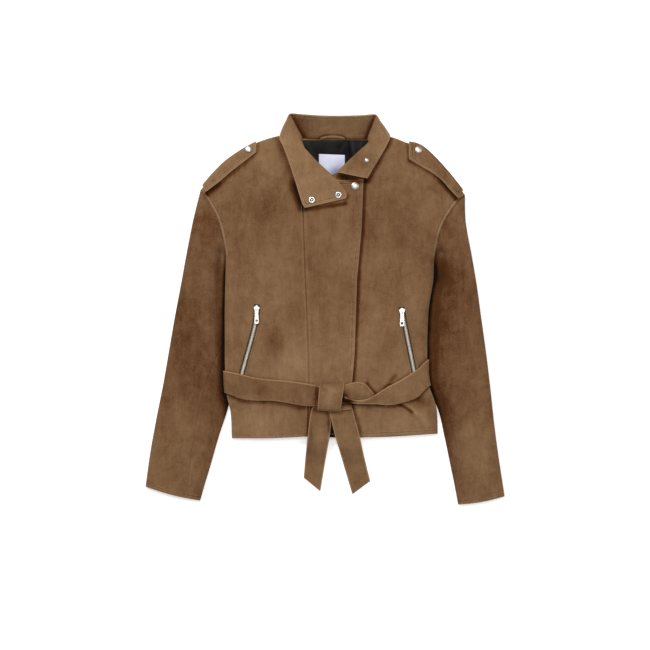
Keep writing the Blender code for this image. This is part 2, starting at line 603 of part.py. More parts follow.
def knot():
    """The wrap over the knot, the layer inside it, the rolled twist beside it and both tails."""
    arch = [25.5, 30.5, 34.5, 36.6, 37.4, 37.4, 36.4, 33.5, 28.6]

    def arch_height(x, y, along, across):
        return through(arch, along)[..., 0] - 2.2 * (2 * across - 1) ** 4

    left = [(-19.5, -167.5), (-20.6, -170.5), (-21.4, -176), (-22.2, -184), (-23, -193), (-23.6, -202),
            (-24.2, -210), (-24.6, -216.5), (-24.6, -221)]
    right = [(27, -165.5), (28.4, -168.5), (27.8, -174), (26.6, -183), (25, -193), (23.6, -202),
             (22.4, -211), (21.4, -219), (20.8, -223.5)]
    strip("belt_knot", left, right, arch_height, BELT, TRIM_SUEDE, 7)

    def inner_height(x, y, along, across):
        return 27.0 - 1.4 * along

    strip("belt_knot_inner", [(12, -207.5), (26, -207.5), (43, -207.5)],
          [(10, -219.5), (24, -219.5), (41.5, -218.5)], inner_height, 1.8, TRIM_SUEDE, 4)

    def twist_height(x, y, along, across):
        swell = through([8.8, 8.4, 7.4, 6.4, 4.6, 3.2, 2.4], along)[..., 0]
        return cover_height(x, y) + LAP + BELT - 1.2 + swell * np.sin(np.pi * (0.14 + 0.78 * across))

    strip("belt_twist",
          [(23.5, -173.5), (32, -169), (45, -165), (58, -163.8), (70, -168), (80, -178), (88, -188)],
          [(23.5, -191), (32, -195), (45, -200.5), (58, -202.5), (68, -201.5), (76, -199.5), (82, -198)],
          twist_height, 2.0, TRIM_SUEDE, 9)
    strip("belt_tail_right",
          [(-33, -213.8), (-37, -220), (-40.5, -240), (-43, -260), (-46, -290), (-49.5, -325), (-52, -355)],
          [(-4, -213.8), (-3, -222), (1.4, -243), (0.2, -264), (-5.5, -296), (-13, -340), (-19.8, -381.4)],
          tail_height, BELT, TRIM_SUEDE)
    strip("belt_tail_left",
          [(4, -207), (-0.8, -222.8), (4.4, -246), (11, -273), (20, -303), (32, -344), (45, -387.4)],
          [(39, -208.5), (44, -216.4), (51.5, -243), (59.8, -276.4), (65.4, -304), (72.5, -333),
           (79.8, -361.8)],
          tail_height, BELT, TRIM_SUEDE)


def neck_pieces():
    """Lining, label and hanger loop, seen through the neck opening."""

    def satin(x, y):
        fade = smoothstep((322 - y) / 25)
        folds = 1.6 * np.exp(-((x - 44) / 7) ** 2) + 1.2 * np.exp(-((x - 62) / 6) ** 2)
        folds = folds + 1.2 * np.exp(-((x + 42) / 7) ** 2)
        return back_height(x, y) + SUEDE + 1.3 + SATIN + fade * folds

    x, y = panel(
        lambda v: through([(-64, 319), (-62, 270), (-58, 215)], v),
        lambda v: through([(84, 319), (82, 270), (78, 215)], v),
        np.linspace(0, 1, 6), np.linspace(0, 1, 17),
    )
    face = np.stack([x, y, satin(x, y)], -1)
    solid("lining", face, face - [0, 0, SATIN], LINING_SATIN)
    x, y = panel(
        lambda v: through([(-22, 291.6), (-21.4, 232)], v),
        lambda v: through([(29.4, 289.6), (30, 231)], v),
        np.linspace(0, 1, 4), np.linspace(0, 1, 5),
    )
    face = np.stack([x, y, satin(x, y) + 0.4 + 0.6], -1)
    solid("label", face, face - [0, 0, 0.6], LABEL_CLOTH)
    t = np.linspace(0, 1, 11)
    middle = np.stack([-19.6 + 49 * t, 321.6 + 4.2 * np.sin(np.pi * t) ** 0.6], -1)
    rows = [middle + [0, side] for side in (-1.8, 0, 1.8)]
    y = np.stack([row[:, 1] for row in rows], 1)
    x = np.stack([row[:, 0] for row in rows], 1)
    face = np.stack([x, y, 6.6 + 0.62 * (y - 321.6)], -1)
    solid("hanger_loop", face, face - [0, 0, 1.2], TRIM_SUEDE)


def lathe(name, profile, look, at, tilt=None, segments=20):
    """A turned piece from (radius, height) points, the first and last on its axis."""
    ring = np.arange(segments) * 2 * np.pi / segments
    body = np.array(profile[1:-1], float)
    points = [np.array([[0, 0, profile[0][1]]], float)]
    for radius, z in body:
        points.append(np.stack([radius * np.cos(ring), radius * np.sin(ring), 0 * ring + z], -1))
    points.append(np.array([[0, 0, profile[-1][1]]], float))
    points = np.concatenate(points)
    last = len(points) - 1
    step = np.arange(segments)
    pairs = list(zip(step.tolist(), np.roll(step, -1).tolist()))
    faces = [(0, 1 + a, 1 + b) for a, b in pairs]
    for k in range(len(body) - 1):
        near, far = 1 + k * segments, 1 + (k + 1) * segments
        faces += [(near + a, far + a, far + b, near + b) for a, b in pairs]
    near = 1 + (len(body) - 1) * segments
    faces += [(near + a, last, near + b) for a, b in pairs]
    made = add(name, points, faces, look, at)
    if tilt is not None:
        made.rotation_euler = Vector((0, 0, 1)).rotation_difference(tilt).to_euler()
    return made


CAP = [(0, 2.3), (0.45, 2.15), (0.8, 1.6), (0.97, 0.9), (1.0, 0.0), (0, 0)]
RING = [(0, 0.5), (0.42, 0.5), (0.5, 1.5), (0.72, 1.9), (0.93, 1.2), (1.0, 0.0), (0, 0)]


def snap(name, carrier, x, y, radius, profile):
    """A snap seated on the strap or panel below it, square to the cloth there."""
    mesh = carrier.data
    tree = BVHTree.FromPolygons([v.co / MM for v in mesh.vertices], [p.vertices for p in mesh.polygons])
    place, normal, _, _ = tree.ray_cast(Vector((x, y, 100)), Vector((0, 0, -1)))
    lathe(name, [(r * radius, z) for r, z in profile], STEEL, place + normal * 0.35, normal)


def prism(name, outline, low, high, axis, look, at):
    """An outline in the two coordinates beside `axis`, pushed along that axis from `low` to `high`."""
    count = len(outline)
    flat = np.array(outline, float)
    points = np.concatenate([np.insert(flat, axis, z, axis=1) for z in (low, high)])
    sides = [(k, (k + 1) % count, count + (k + 1) % count, count + k) for k in range(count)]
    caps = [tuple(range(count))[::-1], tuple(range(count, 2 * count))]
    return add(name, points, sides + caps, look, at)


def joined(target, tool, operation):
    """Adds or cuts one solid with another, which stays hidden."""
    change = target.modifiers.new(operation.lower(), "BOOLEAN")
    change.operation = operation
    change.object = tool
    change.solver = "EXACT"
    tool.hide_render = True
    tool.display_type = "WIRE"


def arc(cx, cy, radius, first, last, count):
    """Points on an arc, angles in degrees."""
    t = np.radians(np.linspace(first, last, count))
    return np.stack([cx + radius * np.cos(t), cy + radius * np.sin(t)], -1).tolist()


CHAIN_TOP = 1.9
PIVOT_RISE = 1.5  # pivot above the slider's plate
TAB_LENGTH = 30.5


def zip_closure(side, height, pivot, top, middle, end):
    """Chain on the front, slider on the chain, and the tab whose crossbar turns under its bridge."""
    t = np.linspace(0, 1, 8)
    line = through([top, middle, end], t)
    heading = np.gradient(line, axis=0)
    heading /= np.linalg.norm(heading, axis=-1, keepdims=True)
    square = np.stack([heading[:, 1], -heading[:, 0]], -1)
    q = np.array([-5.5, -3.3, -2.8, 2.8, 3.3, 5.5])
    xy = line[:, None] + square[:, None] * q[None, :, None]
    high = np.array([0.9, 0.9, CHAIN_TOP, CHAIN_TOP, 0.9, 0.9])[None, :] + 0 * xy[..., 0]
    two_faces(f"zip_{side}_chain", height, xy[..., 0], xy[..., 1], 0.3, high, STEEL)

    px, py = pivot
    around = np.array([(px + a, py + b) for a in (-5.8, 0, 5.8) for b in (-7, 0, 6)])
    seat = float(height(around[:, 0], around[:, 1]).max()) + CHAIN_TOP + 0.35
    plate_top = 1.5
    pivot_z = seat + plate_top + PIVOT_RISE
    low, high = -PIVOT_RISE - plate_top, -PIVOT_RISE
    outline = [(-2.6, -7), (2.6, -7), *arc(3.6, 1.4, 2.2, -10, 80, 4), (1.5, 6), (-1.5, 6),
               *arc(-3.6, 1.4, 2.2, 100, 190, 4)]
    slider = prism(f"zip_{side}_slider", outline, low, high, 2, STEEL, (px, py, pivot_z))
    roof = high + 3.0
    foot = high - 0.4
    bridge = [(-4.1, foot), (-2.6, foot), (-2.6, roof), (2.6, roof), (2.6, foot), (4.1, foot),
              (4.1, roof + 0.5), (3.3, roof + 1.3), (-3.3, roof + 1.3), (-4.1, roof + 0.5)]
    joined(slider, prism(f"zip_{side}_bridge", bridge, -1.5, 1.5, 0, STEEL, (px, py, pivot_z)), "UNION")

    half = [(3.4, 0.8), (4.2, 0.0), (3.4, -9), (4.5, 3 - TAB_LENGTH), (4.0, 0.8 - TAB_LENGTH),
            (2.6, -TAB_LENGTH)]
    outline = half + [(-x, y) for x, y in half[::-1]]
    tab = prism(f"zip_{side}_tab", outline, -0.7, 0.7, 2, STEEL, (px, py, pivot_z))
    slot = [(-2.2, -0.8), (-2.2, -5.7), (2.2, -5.7), (2.2, -0.8)]
    joined(tab, prism(f"zip_{side}_slot", slot, -2, 2, 2, STEEL, (px, py, pivot_z)), "DIFFERENCE")
    eye = arc(0, -24.5, 2.6, 0, 337.5, 16)
    joined(tab, prism(f"zip_{side}_eye", eye, -2, 2, 2, STEEL, (px, py, pivot_z)), "DIFFERENCE")


back()
front_right()
front_left()
overlap = placket()
sleeve(True)
sleeve(False)
neckband = collar()
right_strap = epaulette("epaulette_right", EPAULETTE_RIGHT)
left_strap = epaulette("epaulette_left", EPAULETTE_LEFT)
belt()
knot()
neck_pieces()
zip_closure("right", front_height, *ZIP_RIGHT)
zip_closure("left", left_front_height, *ZIP_LEFT)
snap("snap_collar_outer", neckband, -36.4, 199.5, 6.9, RING)
snap("snap_collar_inner", neckband, 16.6, 209.5, 6.9, RING)
snap("snap_collar_stud", neckband, 73.2, 278.4, 5.0, CAP)
snap("snap_placket", overlap, 49.8, 227, 8.0, CAP)
snap("snap_epaulette_right", right_strap, -163.5, 301.5, 7.5, CAP)
snap("snap_epaulette_left", left_strap, 177, 299.5, 7.5, CAP)
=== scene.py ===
import bpy
import numpy as np
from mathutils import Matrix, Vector
from mathutils.bvhtree import BVHTree


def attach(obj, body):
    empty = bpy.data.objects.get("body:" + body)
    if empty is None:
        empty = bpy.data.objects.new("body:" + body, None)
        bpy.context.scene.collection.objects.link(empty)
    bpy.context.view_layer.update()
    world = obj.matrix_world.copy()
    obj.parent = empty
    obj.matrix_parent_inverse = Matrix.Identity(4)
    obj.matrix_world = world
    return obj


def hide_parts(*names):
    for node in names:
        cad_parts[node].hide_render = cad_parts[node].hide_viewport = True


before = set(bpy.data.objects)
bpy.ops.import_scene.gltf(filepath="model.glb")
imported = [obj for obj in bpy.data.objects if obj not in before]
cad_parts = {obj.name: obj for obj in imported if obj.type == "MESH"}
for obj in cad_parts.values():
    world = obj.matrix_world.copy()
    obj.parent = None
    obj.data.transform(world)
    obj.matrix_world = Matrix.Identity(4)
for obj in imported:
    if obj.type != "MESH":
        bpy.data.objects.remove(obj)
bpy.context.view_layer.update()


# ---- Table, light and camera -------------------------------------------------------------------------
# The jacket lies flat on a plain white table. A soft light hangs to the upper left of it, a weaker one to
# the right and a wide one high above, and the camera looks straight down from twelve metres.

TABLE_HALF = 4.0  # metres from its middle to each side
TABLE_TOP = -0.0004  # just below the back, which lies at 0
corners = [(TABLE_HALF * x, TABLE_HALF * y, TABLE_TOP) for x, y in ((-1, -1), (1, -1), (1, 1), (-1, 1))]
table_mesh = bpy.data.meshes.new("table_top")
table_mesh.from_pydata(corners, [], [(0, 1, 2, 3)])
table_top = bpy.data.objects.new("table_top", table_mesh)
bpy.context.scene.collection.objects.link(table_top)
white_paint = bpy.data.materials.new("white_table")
white_paint.use_nodes = True
painted = white_paint.node_tree.nodes["Principled BSDF"]
painted.inputs["Base Color"].default_value = (0.90, 0.90, 0.90, 1)
painted.inputs["Roughness"].default_value = 0.9
painted.inputs["Emission Color"].default_value = (1, 1, 1, 1)
painted.inputs["Emission Strength"].default_value = 0.40
table_mesh.materials.append(white_paint)


def soft_light(name, place, size, power, target=(0, 0, 0)):
    """A square light panel of this size that faces its target."""
    lamp = bpy.data.lights.new(name, "AREA")
    lamp.size = size
    lamp.energy = power
    held = bpy.data.objects.new(name, lamp)
    held.location = place
    held.rotation_euler = (Vector(target) - Vector(place)).to_track_quat("-Z", "Y").to_euler()
    bpy.context.scene.collection.objects.link(held)


soft_light("key_panel", (-1.3, 2.3, 2.4), 0.8, 66)
soft_light("fill_panel", (2.2, 0.6, 2.6), 1.6, 16)
soft_light("top_panel", (0.0, 1.25, 5.0), 1.3, 60)
sky = bpy.data.worlds.new("studio")
sky.use_nodes = True
white_sky = sky.node_tree.nodes["Background"]
white_sky.inputs["Color"].default_value = (1, 1, 1, 1)
white_sky.inputs["Strength"].default_value = 0.50
bpy.context.scene.world = sky
bpy.context.scene.view_settings.view_transform = "Standard"

lens = bpy.data.cameras.new("overhead")
lens.sensor_width = 36
lens.lens = 332.4
camera = bpy.data.objects.new("overhead", lens)
camera.location = (-0.010, -0.050, 12.0)
bpy.context.scene.collection.objects.link(camera)
bpy.context.scene.camera = camera


# ---- Back --------------------------------------------------------------------------------------------
# One panel of napped suede 1.5 mm thick, cut to the shoulders, armholes, sides and hem. It lies on the
# table, lifted a little along the sides where the sleeves pass below it and over the belt.

MM = 0.001  # points and tables are in millimetres, Blender's own in metres
SUEDE = 1.5  # thickness
FAR = 99.0  # stands for the distance to an edge or a seam that isn't there
BELT_ROOM = 3.8  # how far the back lies off the floor over the belt

# Outline of each side of the body, from the shoulder tip down the armhole and the side to the hem: x, y.
# ARMPIT_ROW is the armpit's row in both, counted from 0.
ARMPIT_ROW = 5
SIDE_RIGHT = [
    (-258, 220), (-251.2, 207.4), (-238, 188), (-223, 157.6), (-213.5, 122), (-208, 88),
    (-209, 40), (-210, -20), (-210, -80), (-209.5, -135), (-207, -185), (-198, -226), (-196, -276),
]
SIDE_LEFT = [
    (269, 210), (255.4, 196.6), (236, 170), (222, 142), (213, 108), (208, 80),
    (206, 40), (197.5, -14), (195, -60), (194, -112), (195.5, -162), (212, -214), (215, -267),
]
# Outline of each shoulder, from its tip to the neck, and of the back's neck between them: x, y.
SHOULDER_RIGHT = [
    (-258, 220), (-232, 250), (-208, 274), (-180, 294), (-150, 312.5), (-108, 326.5), (-72, 330),
]
SHOULDER_LEFT = [
    (269, 210), (247, 238), (226, 263), (204, 287), (182, 306), (156, 313), (124, 325), (90, 330),
]
BACK_NECK = [(-72, 330), (-56, 326), (10, 324.5), (76, 324.5), (90, 330)]

# Heights along the side and armhole edge: y, outer face of the front, outer face of the back, and how far
# in the back is lifted.
EDGE = np.array([
    (-276, 7.8, 4.0, 40), (-224, 11.8, 7.7, 50), (-200, 12.4, 8.2, 62), (-160, 12.4, 8.2, 75),
    (-110, 12.4, 8.2, 85), (-60, 12.4, 8.2, 88), (0, 12.4, 8.2, 85), (40, 12.4, 8.2, 75),
    (92, 12.4, 8.2, 60), (108, 15.0, 3.5, 50), (126, 18.0, 0.0, 40), (165, 18.0, 0.0, 40),
    (192, 14.0, 2.5, 50), (216, 9.9, 5.9, 60), (232, 9.9, 5.9, 60), (276, 9.5, 5.5, 60),
    (312, 8.3, 4.3, 60), (330, 4.6, 0.8, 60),
])
FRONT_EDGE, BACK_EDGE, LIFT_REACH = 1, 2, 3  # the columns of EDGE after y


def smoothstep(t):
    """0 below 0, 1 above 1 and eased between."""
    t = np.clip(t, 0, 1)
    return t * t * (3 - 2 * t)


def through(table, at):
    """A smooth curve through the table's rows, at 0 on the first row and 1 on the last."""
    rows = np.array(table, float).reshape(len(table), -1)
    t = np.clip(np.asarray(at, float), 0, 1) * (len(rows) - 1)
    k = np.minimum(t.astype(int), len(rows) - 2)
    f = (t - k)[..., None]
    slope = np.gradient(rows, axis=0)
    near = rows[k] * (1 + 2 * f) * (1 - f) ** 2 + slope[k] * f * (1 - f) ** 2
    far = rows[k + 1] * f * f * (3 - 2 * f) + slope[k + 1] * f * f * (f - 1)
    return near + far


def distance(x, y, line):
    """How far each point lies from a line of points."""
    nearest = np.full(np.shape(x), 1e9)
    for (ax, ay), (bx, by) in zip(line[:-1], line[1:]):
        t = ((x - ax) * (bx - ax) + (y - ay) * (by - ay)) / ((bx - ax) ** 2 + (by - ay) ** 2)
        t = np.clip(t, 0, 1)
        nearest = np.minimum(nearest, np.hypot(x - ax - t * (bx - ax), y - ay - t * (by - ay)))
    return nearest


SIDES = [through(side, np.linspace(0, 1, 49)) for side in (SIDE_RIGHT, SIDE_LEFT)]
SHOULDERS = [through(shoulder, np.linspace(0, 1, 25)) for shoulder in (SHOULDER_RIGHT, SHOULDER_LEFT)]


def to_sides(x, y):
    """How far each point lies from the nearer side of the body."""
    return np.minimum(distance(x, y, SIDES[0]), distance(x, y, SIDES[1]))


def to_shoulders(x, y):
    """How far each point lies from the nearer shoulder."""
    return np.minimum(distance(x, y, SHOULDERS[0]), distance(x, y, SHOULDERS[1]))


def edge_column(y, column):
    """One column of EDGE at y."""
    return np.interp(y, EDGE[:, 0], EDGE[:, column])


def belt_lift(x, y):
    """Height that the belt takes up under the back: level to 34 from its middle line, gone 24 beyond."""
    off = np.abs(y - (-155 + 0.045 * x))
    return BELT_ROOM * (1 - smoothstep((off - 34) / 24))


def back_height(x, y):
    """Outer face of the back: the floor, lifted along the sides over the sleeves and at the shoulders."""
    sides = edge_column(y, BACK_EDGE) * (1 - smoothstep(to_sides(x, y) / edge_column(y, LIFT_REACH)))
    shoulders = edge_column(y, BACK_EDGE) * (1 - smoothstep(to_shoulders(x, y) / 60)) * (y > 205)
    return np.maximum(sides, shoulders) + belt_lift(x, y)


def panel(left, right, rows, columns, top=None, bottom=None):
    """x, y grid between two sides, each a table of points or a function of the share of its length.

    `top` and `bottom` are tables that bend the first and the last row, fading out over the grid.
    """
    v = np.asarray(rows)[:, None]
    u = np.asarray(columns)[None, :]
    a, b = (side(v) if callable(side) else through(side, v) for side in (left, right))
    grid = a * (1 - u[..., None]) + b * u[..., None]
    for curve, row, fade in ((top, 0, 1 - v), (bottom, -1, v)):
        if curve is not None:
            straight = a[row] * (1 - u[0][:, None]) + b[row] * u[0][:, None]
            grid = grid + fade[..., None] * (through(curve, u[0]) - straight)[None]
    return grid[..., 0], grid[..., 1]


def clustered(count, strength=0.6, ends="both"):
    """Values from 0 to 1 that lie closer together near the named ends."""
    t = np.linspace(0, 1, count)
    eased = {"both": smoothstep(t), "start": t * t, "end": 1 - (1 - t) ** 2}[ends]
    return t * (1 - strength) + eased * strength


def hump(off, width):
    """A bell curve: 1 where `off` is 0, down to about a third where it is `width`."""
    return np.exp(-((off / width) ** 2))


def traced(x, y, lines):
    """Sum of bells across lines, each line its points, how wide the bell is, and how high."""
    total = np.zeros(np.shape(x))
    for line, width, height in lines:
        total += height * hump(distance(x, y, line), width)
    return total


def pressed(x, y, creases):
    """Sum of ridges and troughs, each a bell across its line that fades past both ends."""
    return traced(x, y, [([(ax, ay), (bx, by)], *size) for ax, ay, bx, by, *size in creases])


def blotches(x, y, patches):
    """Sum of soft oval patches, each a bell in both directions: x, y, half widths, change of tone."""
    total = np.zeros(np.shape(x))
    for px, py, across, along, change in patches:
        total += change * np.exp(-(((x - px) / across) ** 2) - ((y - py) / along) ** 2)
    return total


class Field:
    """A number that varies over a surface. Sums, differences, products and quotients add Math nodes."""

    def __init__(self, look, socket):
        self.look = look
        self.socket = socket

    def maths(self, operation, *operands):
        """Adds one Math node."""
        sockets = {k: v.socket if isinstance(v, Field) else v for k, v in enumerate(operands)}
        made = self.look.node("ShaderNodeMath", {"operation": operation}, sockets)
        return Field(self.look, made.outputs[0])

    def __add__(self, other):
        return self.maths("ADD", self, other)

    __radd__ = __add__

    def __sub__(self, other):
        return self.maths("SUBTRACT", self, other)

    def __rsub__(self, other):
        return self.maths("SUBTRACT", other, self)

    def __mul__(self, other):
        return self.maths("MULTIPLY", self, other)

    __rmul__ = __mul__

    def __truediv__(self, other):
        return self.maths("DIVIDE", self, other)

    def at_least(self, other):
        return self.maths("MAXIMUM", self, other)

    def at_most(self, other):
        return self.maths("MINIMUM", self, other)

    def from_0_to_1(self):
        return self.at_least(0.0).at_most(1.0)

    def bell(self, middle, width):
        """1 where the number is `middle`, easing to 0 at `width` on either side."""
        off = (self - middle) / width
        return (1 - off * off).at_least(0)


class Look:
    """A material being made up: every node is added by one method, type first, then settings, sockets."""

    def __init__(self, name, roughness, metallic=0.0, sheen=0.0, gloss=0.5):
        self.material = bpy.data.materials.new(name)
        self.material.use_nodes = True
        self.shader = self.material.node_tree.nodes["Principled BSDF"]
        values = {"Roughness": roughness, "Metallic": metallic, "Specular IOR Level": gloss,
                  "Sheen Weight": sheen, "Sheen Roughness": 0.5, "Sheen Tint": (0.75, 0.55, 0.38, 1)}
        for key, value in values.items():
            self.shader.inputs[key].default_value = value
        self.place = self.node("ShaderNodeTexCoord").outputs["Object"]

    def node(self, kind, settings=None, sockets=None):
        """Adds a node; a socket is given a number, a colour or another node's output."""
        made = self.material.node_tree.nodes.new(kind)
        for key, value in (settings or {}).items():
            setattr(made, key, value)
        for key, value in (sockets or {}).items():
            if isinstance(value, bpy.types.NodeSocket):
                self.material.node_tree.links.new(value, made.inputs[key])
            else:
                made.inputs[key].default_value = value
        return made

    def noise(self, scale, detail=2.0, distortion=0.0, stretch=(1, 1, 1), turn=0.0):
        """Cloudy noise from -0.5 to 0.5 with `scale` cells a metre, stretched and turned about z."""
        turned = self.node("ShaderNodeMapping", None, {
            "Vector": self.place, "Rotation": (0, 0, turn), "Scale": stretch})
        cloud = self.node("ShaderNodeTexNoise", None, {
            "Vector": turned.outputs[0], "Scale": scale, "Detail": detail, "Distortion": distortion})
        return Field(self, cloud.outputs["Fac"]) - 0.5

    def attribute(self, name):
        """A number kept on the points of the mesh."""
        return Field(self, self.node("ShaderNodeAttribute", {"attribute_name": name}).outputs["Fac"])

    def between(self, factor, first, second):
        """A colour between two colours."""
        mixed = self.node("ShaderNodeMix", {"data_type": "RGBA"}, {0: factor.socket, 6: first, 7: second})
        return mixed.outputs[2]

    def finish(self, colour, height=None, roughness=None):
        """Joins the colour, a height in millimetres as bump, and roughness to the shader."""
        links = self.material.node_tree.links
        links.new(colour, self.shader.inputs["Base Color"])
        if roughness is not None:
            links.new(roughness.socket, self.shader.inputs["Roughness"])
        if height is not None:
            relief = self.node("ShaderNodeBump", None, {"Distance": MM, "Height": height.socket})
            links.new(relief.outputs[0], self.shader.inputs["Normal"])
        return self.material


# The first colour is painted shade: tone below 0 runs on to it in crevices.
SUEDE_IN_DEEP_SHADE = (0.008, 0.004, 0.002, 1)
DEEP_SUEDE = (0.078, 0.027, 0.008, 1)
PALE_SUEDE = (0.325, 0.199, 0.104, 1)


def suede(name, level, topstitched=True):
    """Napped suede: `level` from deep (0) to pale (1), clouded in patches of hand and finger size.

    The nap gives fine grain and short brushed streaks. The tone attribute lightens or darkens, and carries
    painted shadows and highlights, down to black in crevices. A pale line along each cut edge (rim) is a
    painted highlight on the rolled edge, pale bands beside the stitches and on the seam allowance (seam) are
    painted highlights on raised cloth, and a trough runs along each stitch line, painted in shade.
    """
    look = Look(name, 0.95, sheen=0.04, gloss=0.05)
    clouds = look.noise(9, 4, 0.6)
    mottle = look.noise(52, 6, 0.8)
    brushed = look.noise(22, 5, 0.8, stretch=(1.0, 0.3, 1.0), turn=0.25)
    streaks = look.noise(170, 4, 0.3, stretch=(1.0, 0.2, 1.0), turn=-0.12)
    nap = look.noise(620, 4, 0.6)
    rim = look.attribute("rim")
    seam = look.attribute("seam")
    tone = level + look.attribute("tone") + 0.44 * clouds + 0.40 * mottle + 0.40 * brushed
    # The pale line along each cut edge is a painted highlight on the rolled edge.
    tone = tone + 0.24 * streaks + 0.62 * nap + 0.42 * rim.bell(0.2, 2.4)
    height = 0.38 * nap + 0.45 * mottle + 0.30 * streaks - 0.35 * rim.bell(0.0, 2.0)
    if topstitched:
        grooves = rim.bell(6.5, 1.2) + seam.bell(1.2, 1.1) + seam.bell(6.6, 1.1)
        ridge_highlights = 0.5 * rim.bell(4.6, 1.5) + 0.5 * rim.bell(8.4, 1.3) + 1.4 * seam.bell(3.9, 2.6)
        pucker = look.noise(160, 3, 0.4) * (rim.bell(6.0, 7.0) + seam.bell(4.0, 7.0))
        # The pale bands beside the stitches are painted highlights on raised cloth, and the troughs are
        # painted in shade.
        tone = tone + 0.28 * ridge_highlights - 0.16 * grooves + 0.5 * pucker
        height = height - 0.40 * grooves + 0.8 * pucker
    colour = look.between(tone.from_0_to_1(), DEEP_SUEDE, PALE_SUEDE)
    # Below 0 the tone runs on to near black: painted shade in crevices.
    return look.finish(look.between((1 + 1.6 * tone).from_0_to_1(), SUEDE_IN_DEEP_SHADE, colour), height)


def run_length(points, axis=0):
    """Length from the first point to every point along each line of points."""
    steps = np.diff(points, axis=axis, prepend=np.take(points, [0], axis))
    return np.cumsum(np.linalg.norm(steps, axis=-1), axis)


def edge_distance(face, sides):
    """How far every point of a grid lies, along the cloth, from the named sides of the grid."""
    across, down = run_length(face, 1), run_length(face, 0)
    reach = {"left": across, "right": across[:, -1:] - across, "top": down, "bottom": down[-1:] - down}
    return np.min([reach[side] for side in sides.split()] or [0 * across + FAR], axis=0)


def unit(vectors):
    """The vectors scaled to length 1."""
    return vectors / np.maximum(np.linalg.norm(vectors, axis=-1, keepdims=True), 1e-6)


def normals(grid):
    """Unit normals of a grid of points, pointing upwards on the whole."""
    n = unit(np.cross(np.gradient(grid, axis=0), np.gradient(grid, axis=1)))
    return n if n[..., 2].mean() > 0 else -n


def make_mesh(name, points, faces, look):
    """A smooth-shaded object from points in millimetres."""
    mesh = bpy.data.meshes.new(name)
    mesh.from_pydata((points * MM).tolist(), [], faces)
    mesh.materials.append(look)
    mesh.shade_smooth()
    made = bpy.data.objects.new(name, mesh)
    bpy.context.scene.collection.objects.link(made)
    return made


def cloth(name, outer, inner, look, swell=0.5, **painted):
    """A closed wall of cloth between two grids of points, its cut edge rounded.

    The edge has a middle ring of points, pushed out by `swell` from half-way between the walls: one number,
    or one each for left, bottom, right and top. `painted` holds one number a grid point for each named
    attribute of the finish.
    """
    rows, columns = outer.shape[:2]
    index = np.arange(rows * columns).reshape(rows, columns)
    wall = np.stack([index[:-1, :-1], index[1:, :-1], index[1:, 1:], index[:-1, 1:]], -1).reshape(-1, 4)
    rim = np.concatenate([index[:, 0], index[-1, 1:], index[-2::-1, -1], index[0, -2:0:-1]])
    r, c = np.divmod(rim, columns)
    within = np.clip(r, 1, rows - 2) * columns + np.clip(c, 1, columns - 2)
    top, low = outer.reshape(-1, 3), inner.reshape(-1, 3)
    away = top[rim] - top[within]
    through_wall = unit(top[rim] - low[rim])
    away = unit(away - (away * through_wall).sum(1, keepdims=True) * through_wall)
    swells = np.asarray(swell, float)
    if swells.ndim:
        swells = np.select([c == 0, r == rows - 1, c == columns - 1], swells[:3], swells[3])[:, None]
    middle = (top[rim] + low[rim]) / 2 + away * swells
    count = rows * columns
    ring = np.arange(len(rim)) + 2 * count
    after, next_ring = np.roll(rim, -1), np.roll(ring, -1)
    edge = np.concatenate([np.stack([rim, ring, next_ring, after], -1),
                           np.stack([ring, rim + count, after + count, next_ring], -1)])
    faces = np.concatenate([wall, wall[:, ::-1] + count, edge])
    points = np.concatenate([top, low, middle])
    first, second, third, fourth = (points[faces[:, k]] for k in range(4))
    volume = (first * np.cross(second, third)).sum() + (first * np.cross(third, fourth)).sum()
    made = make_mesh(name, points, (faces if volume > 0 else faces[:, ::-1]).tolist(), look)
    for key in ("tone", "rim", "seam"):
        values = np.broadcast_to(painted.get(key, 0.0 if key == "tone" else FAR), (rows, columns)).ravel()
        kept = made.data.attributes.new(key, "FLOAT", "POINT")
        kept.data.foreach_set("value", np.concatenate([values, values, values[rim]]).astype(np.float32))
    return made


def settle(piece, nodes, on=(), sewn=()):
    """Ties a piece and what is sewn on it to the jacket, and hides the model's parts that it replaces."""
    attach(piece, "jacket")
    if nodes:
        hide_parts(*nodes)
    for row in sewn:
        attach(row, "jacket")


BODY_SUEDE = suede("body_suede", 0.40)

# Soft creases pressed into a panel: x and y of both ends, half width, height.
BACK_CREASES = [
    (-150, -60, -60, 10, 16, 0.9), (140, -70, 60, 0, 18, 0.8), (-170, 120, -90, 60, 20, 0.7),
    (160, 110, 95, 40, 18, 0.7), (-40, -205, 70, -225, 14, 0.8), (10, 40, 20, 190, 22, 0.6),
    (-110, 210, -60, 120, 18, 0.6), (120, 240, 70, 160, 18, 0.5),
]

x, y = panel(
    SIDE_RIGHT, SIDE_LEFT, np.linspace(0, 1, 170), clustered(116, 0.35),
    top=SHOULDER_RIGHT + BACK_NECK[1:] + SHOULDER_LEFT[-2::-1],
    bottom=[(-196, -276), (-60, -273), (90, -274), (215, -267)],
)
lift = back_height(x, y) + pressed(x, y, BACK_CREASES) * (1 - smoothstep(back_height(x, y) / 3))
face = np.stack([x, y, lift], -1)
back = cloth(
    "back_panel", face, face + [0, 0, SUEDE], BODY_SUEDE, swell=0.4, rim=edge_distance(face, "bottom"),
    seam=np.where(y > 60, edge_distance(face, "left right"), FAR),
    tone=blotches(x, y, [(-90, 40, 90, 120, -0.06), (110, -140, 80, 70, 0.08), (20, 210, 120, 60, 0.05)]),
)
settle(back, ["back"])


# ---- Fronts ------------------------------------------------------------------------------------------
# Right and left front, each one panel of the same suede, sewn to the back along shoulder and side. A
# raised seam allowance with two stitch lines runs round the armhole, and the hem is turned up and sewn.

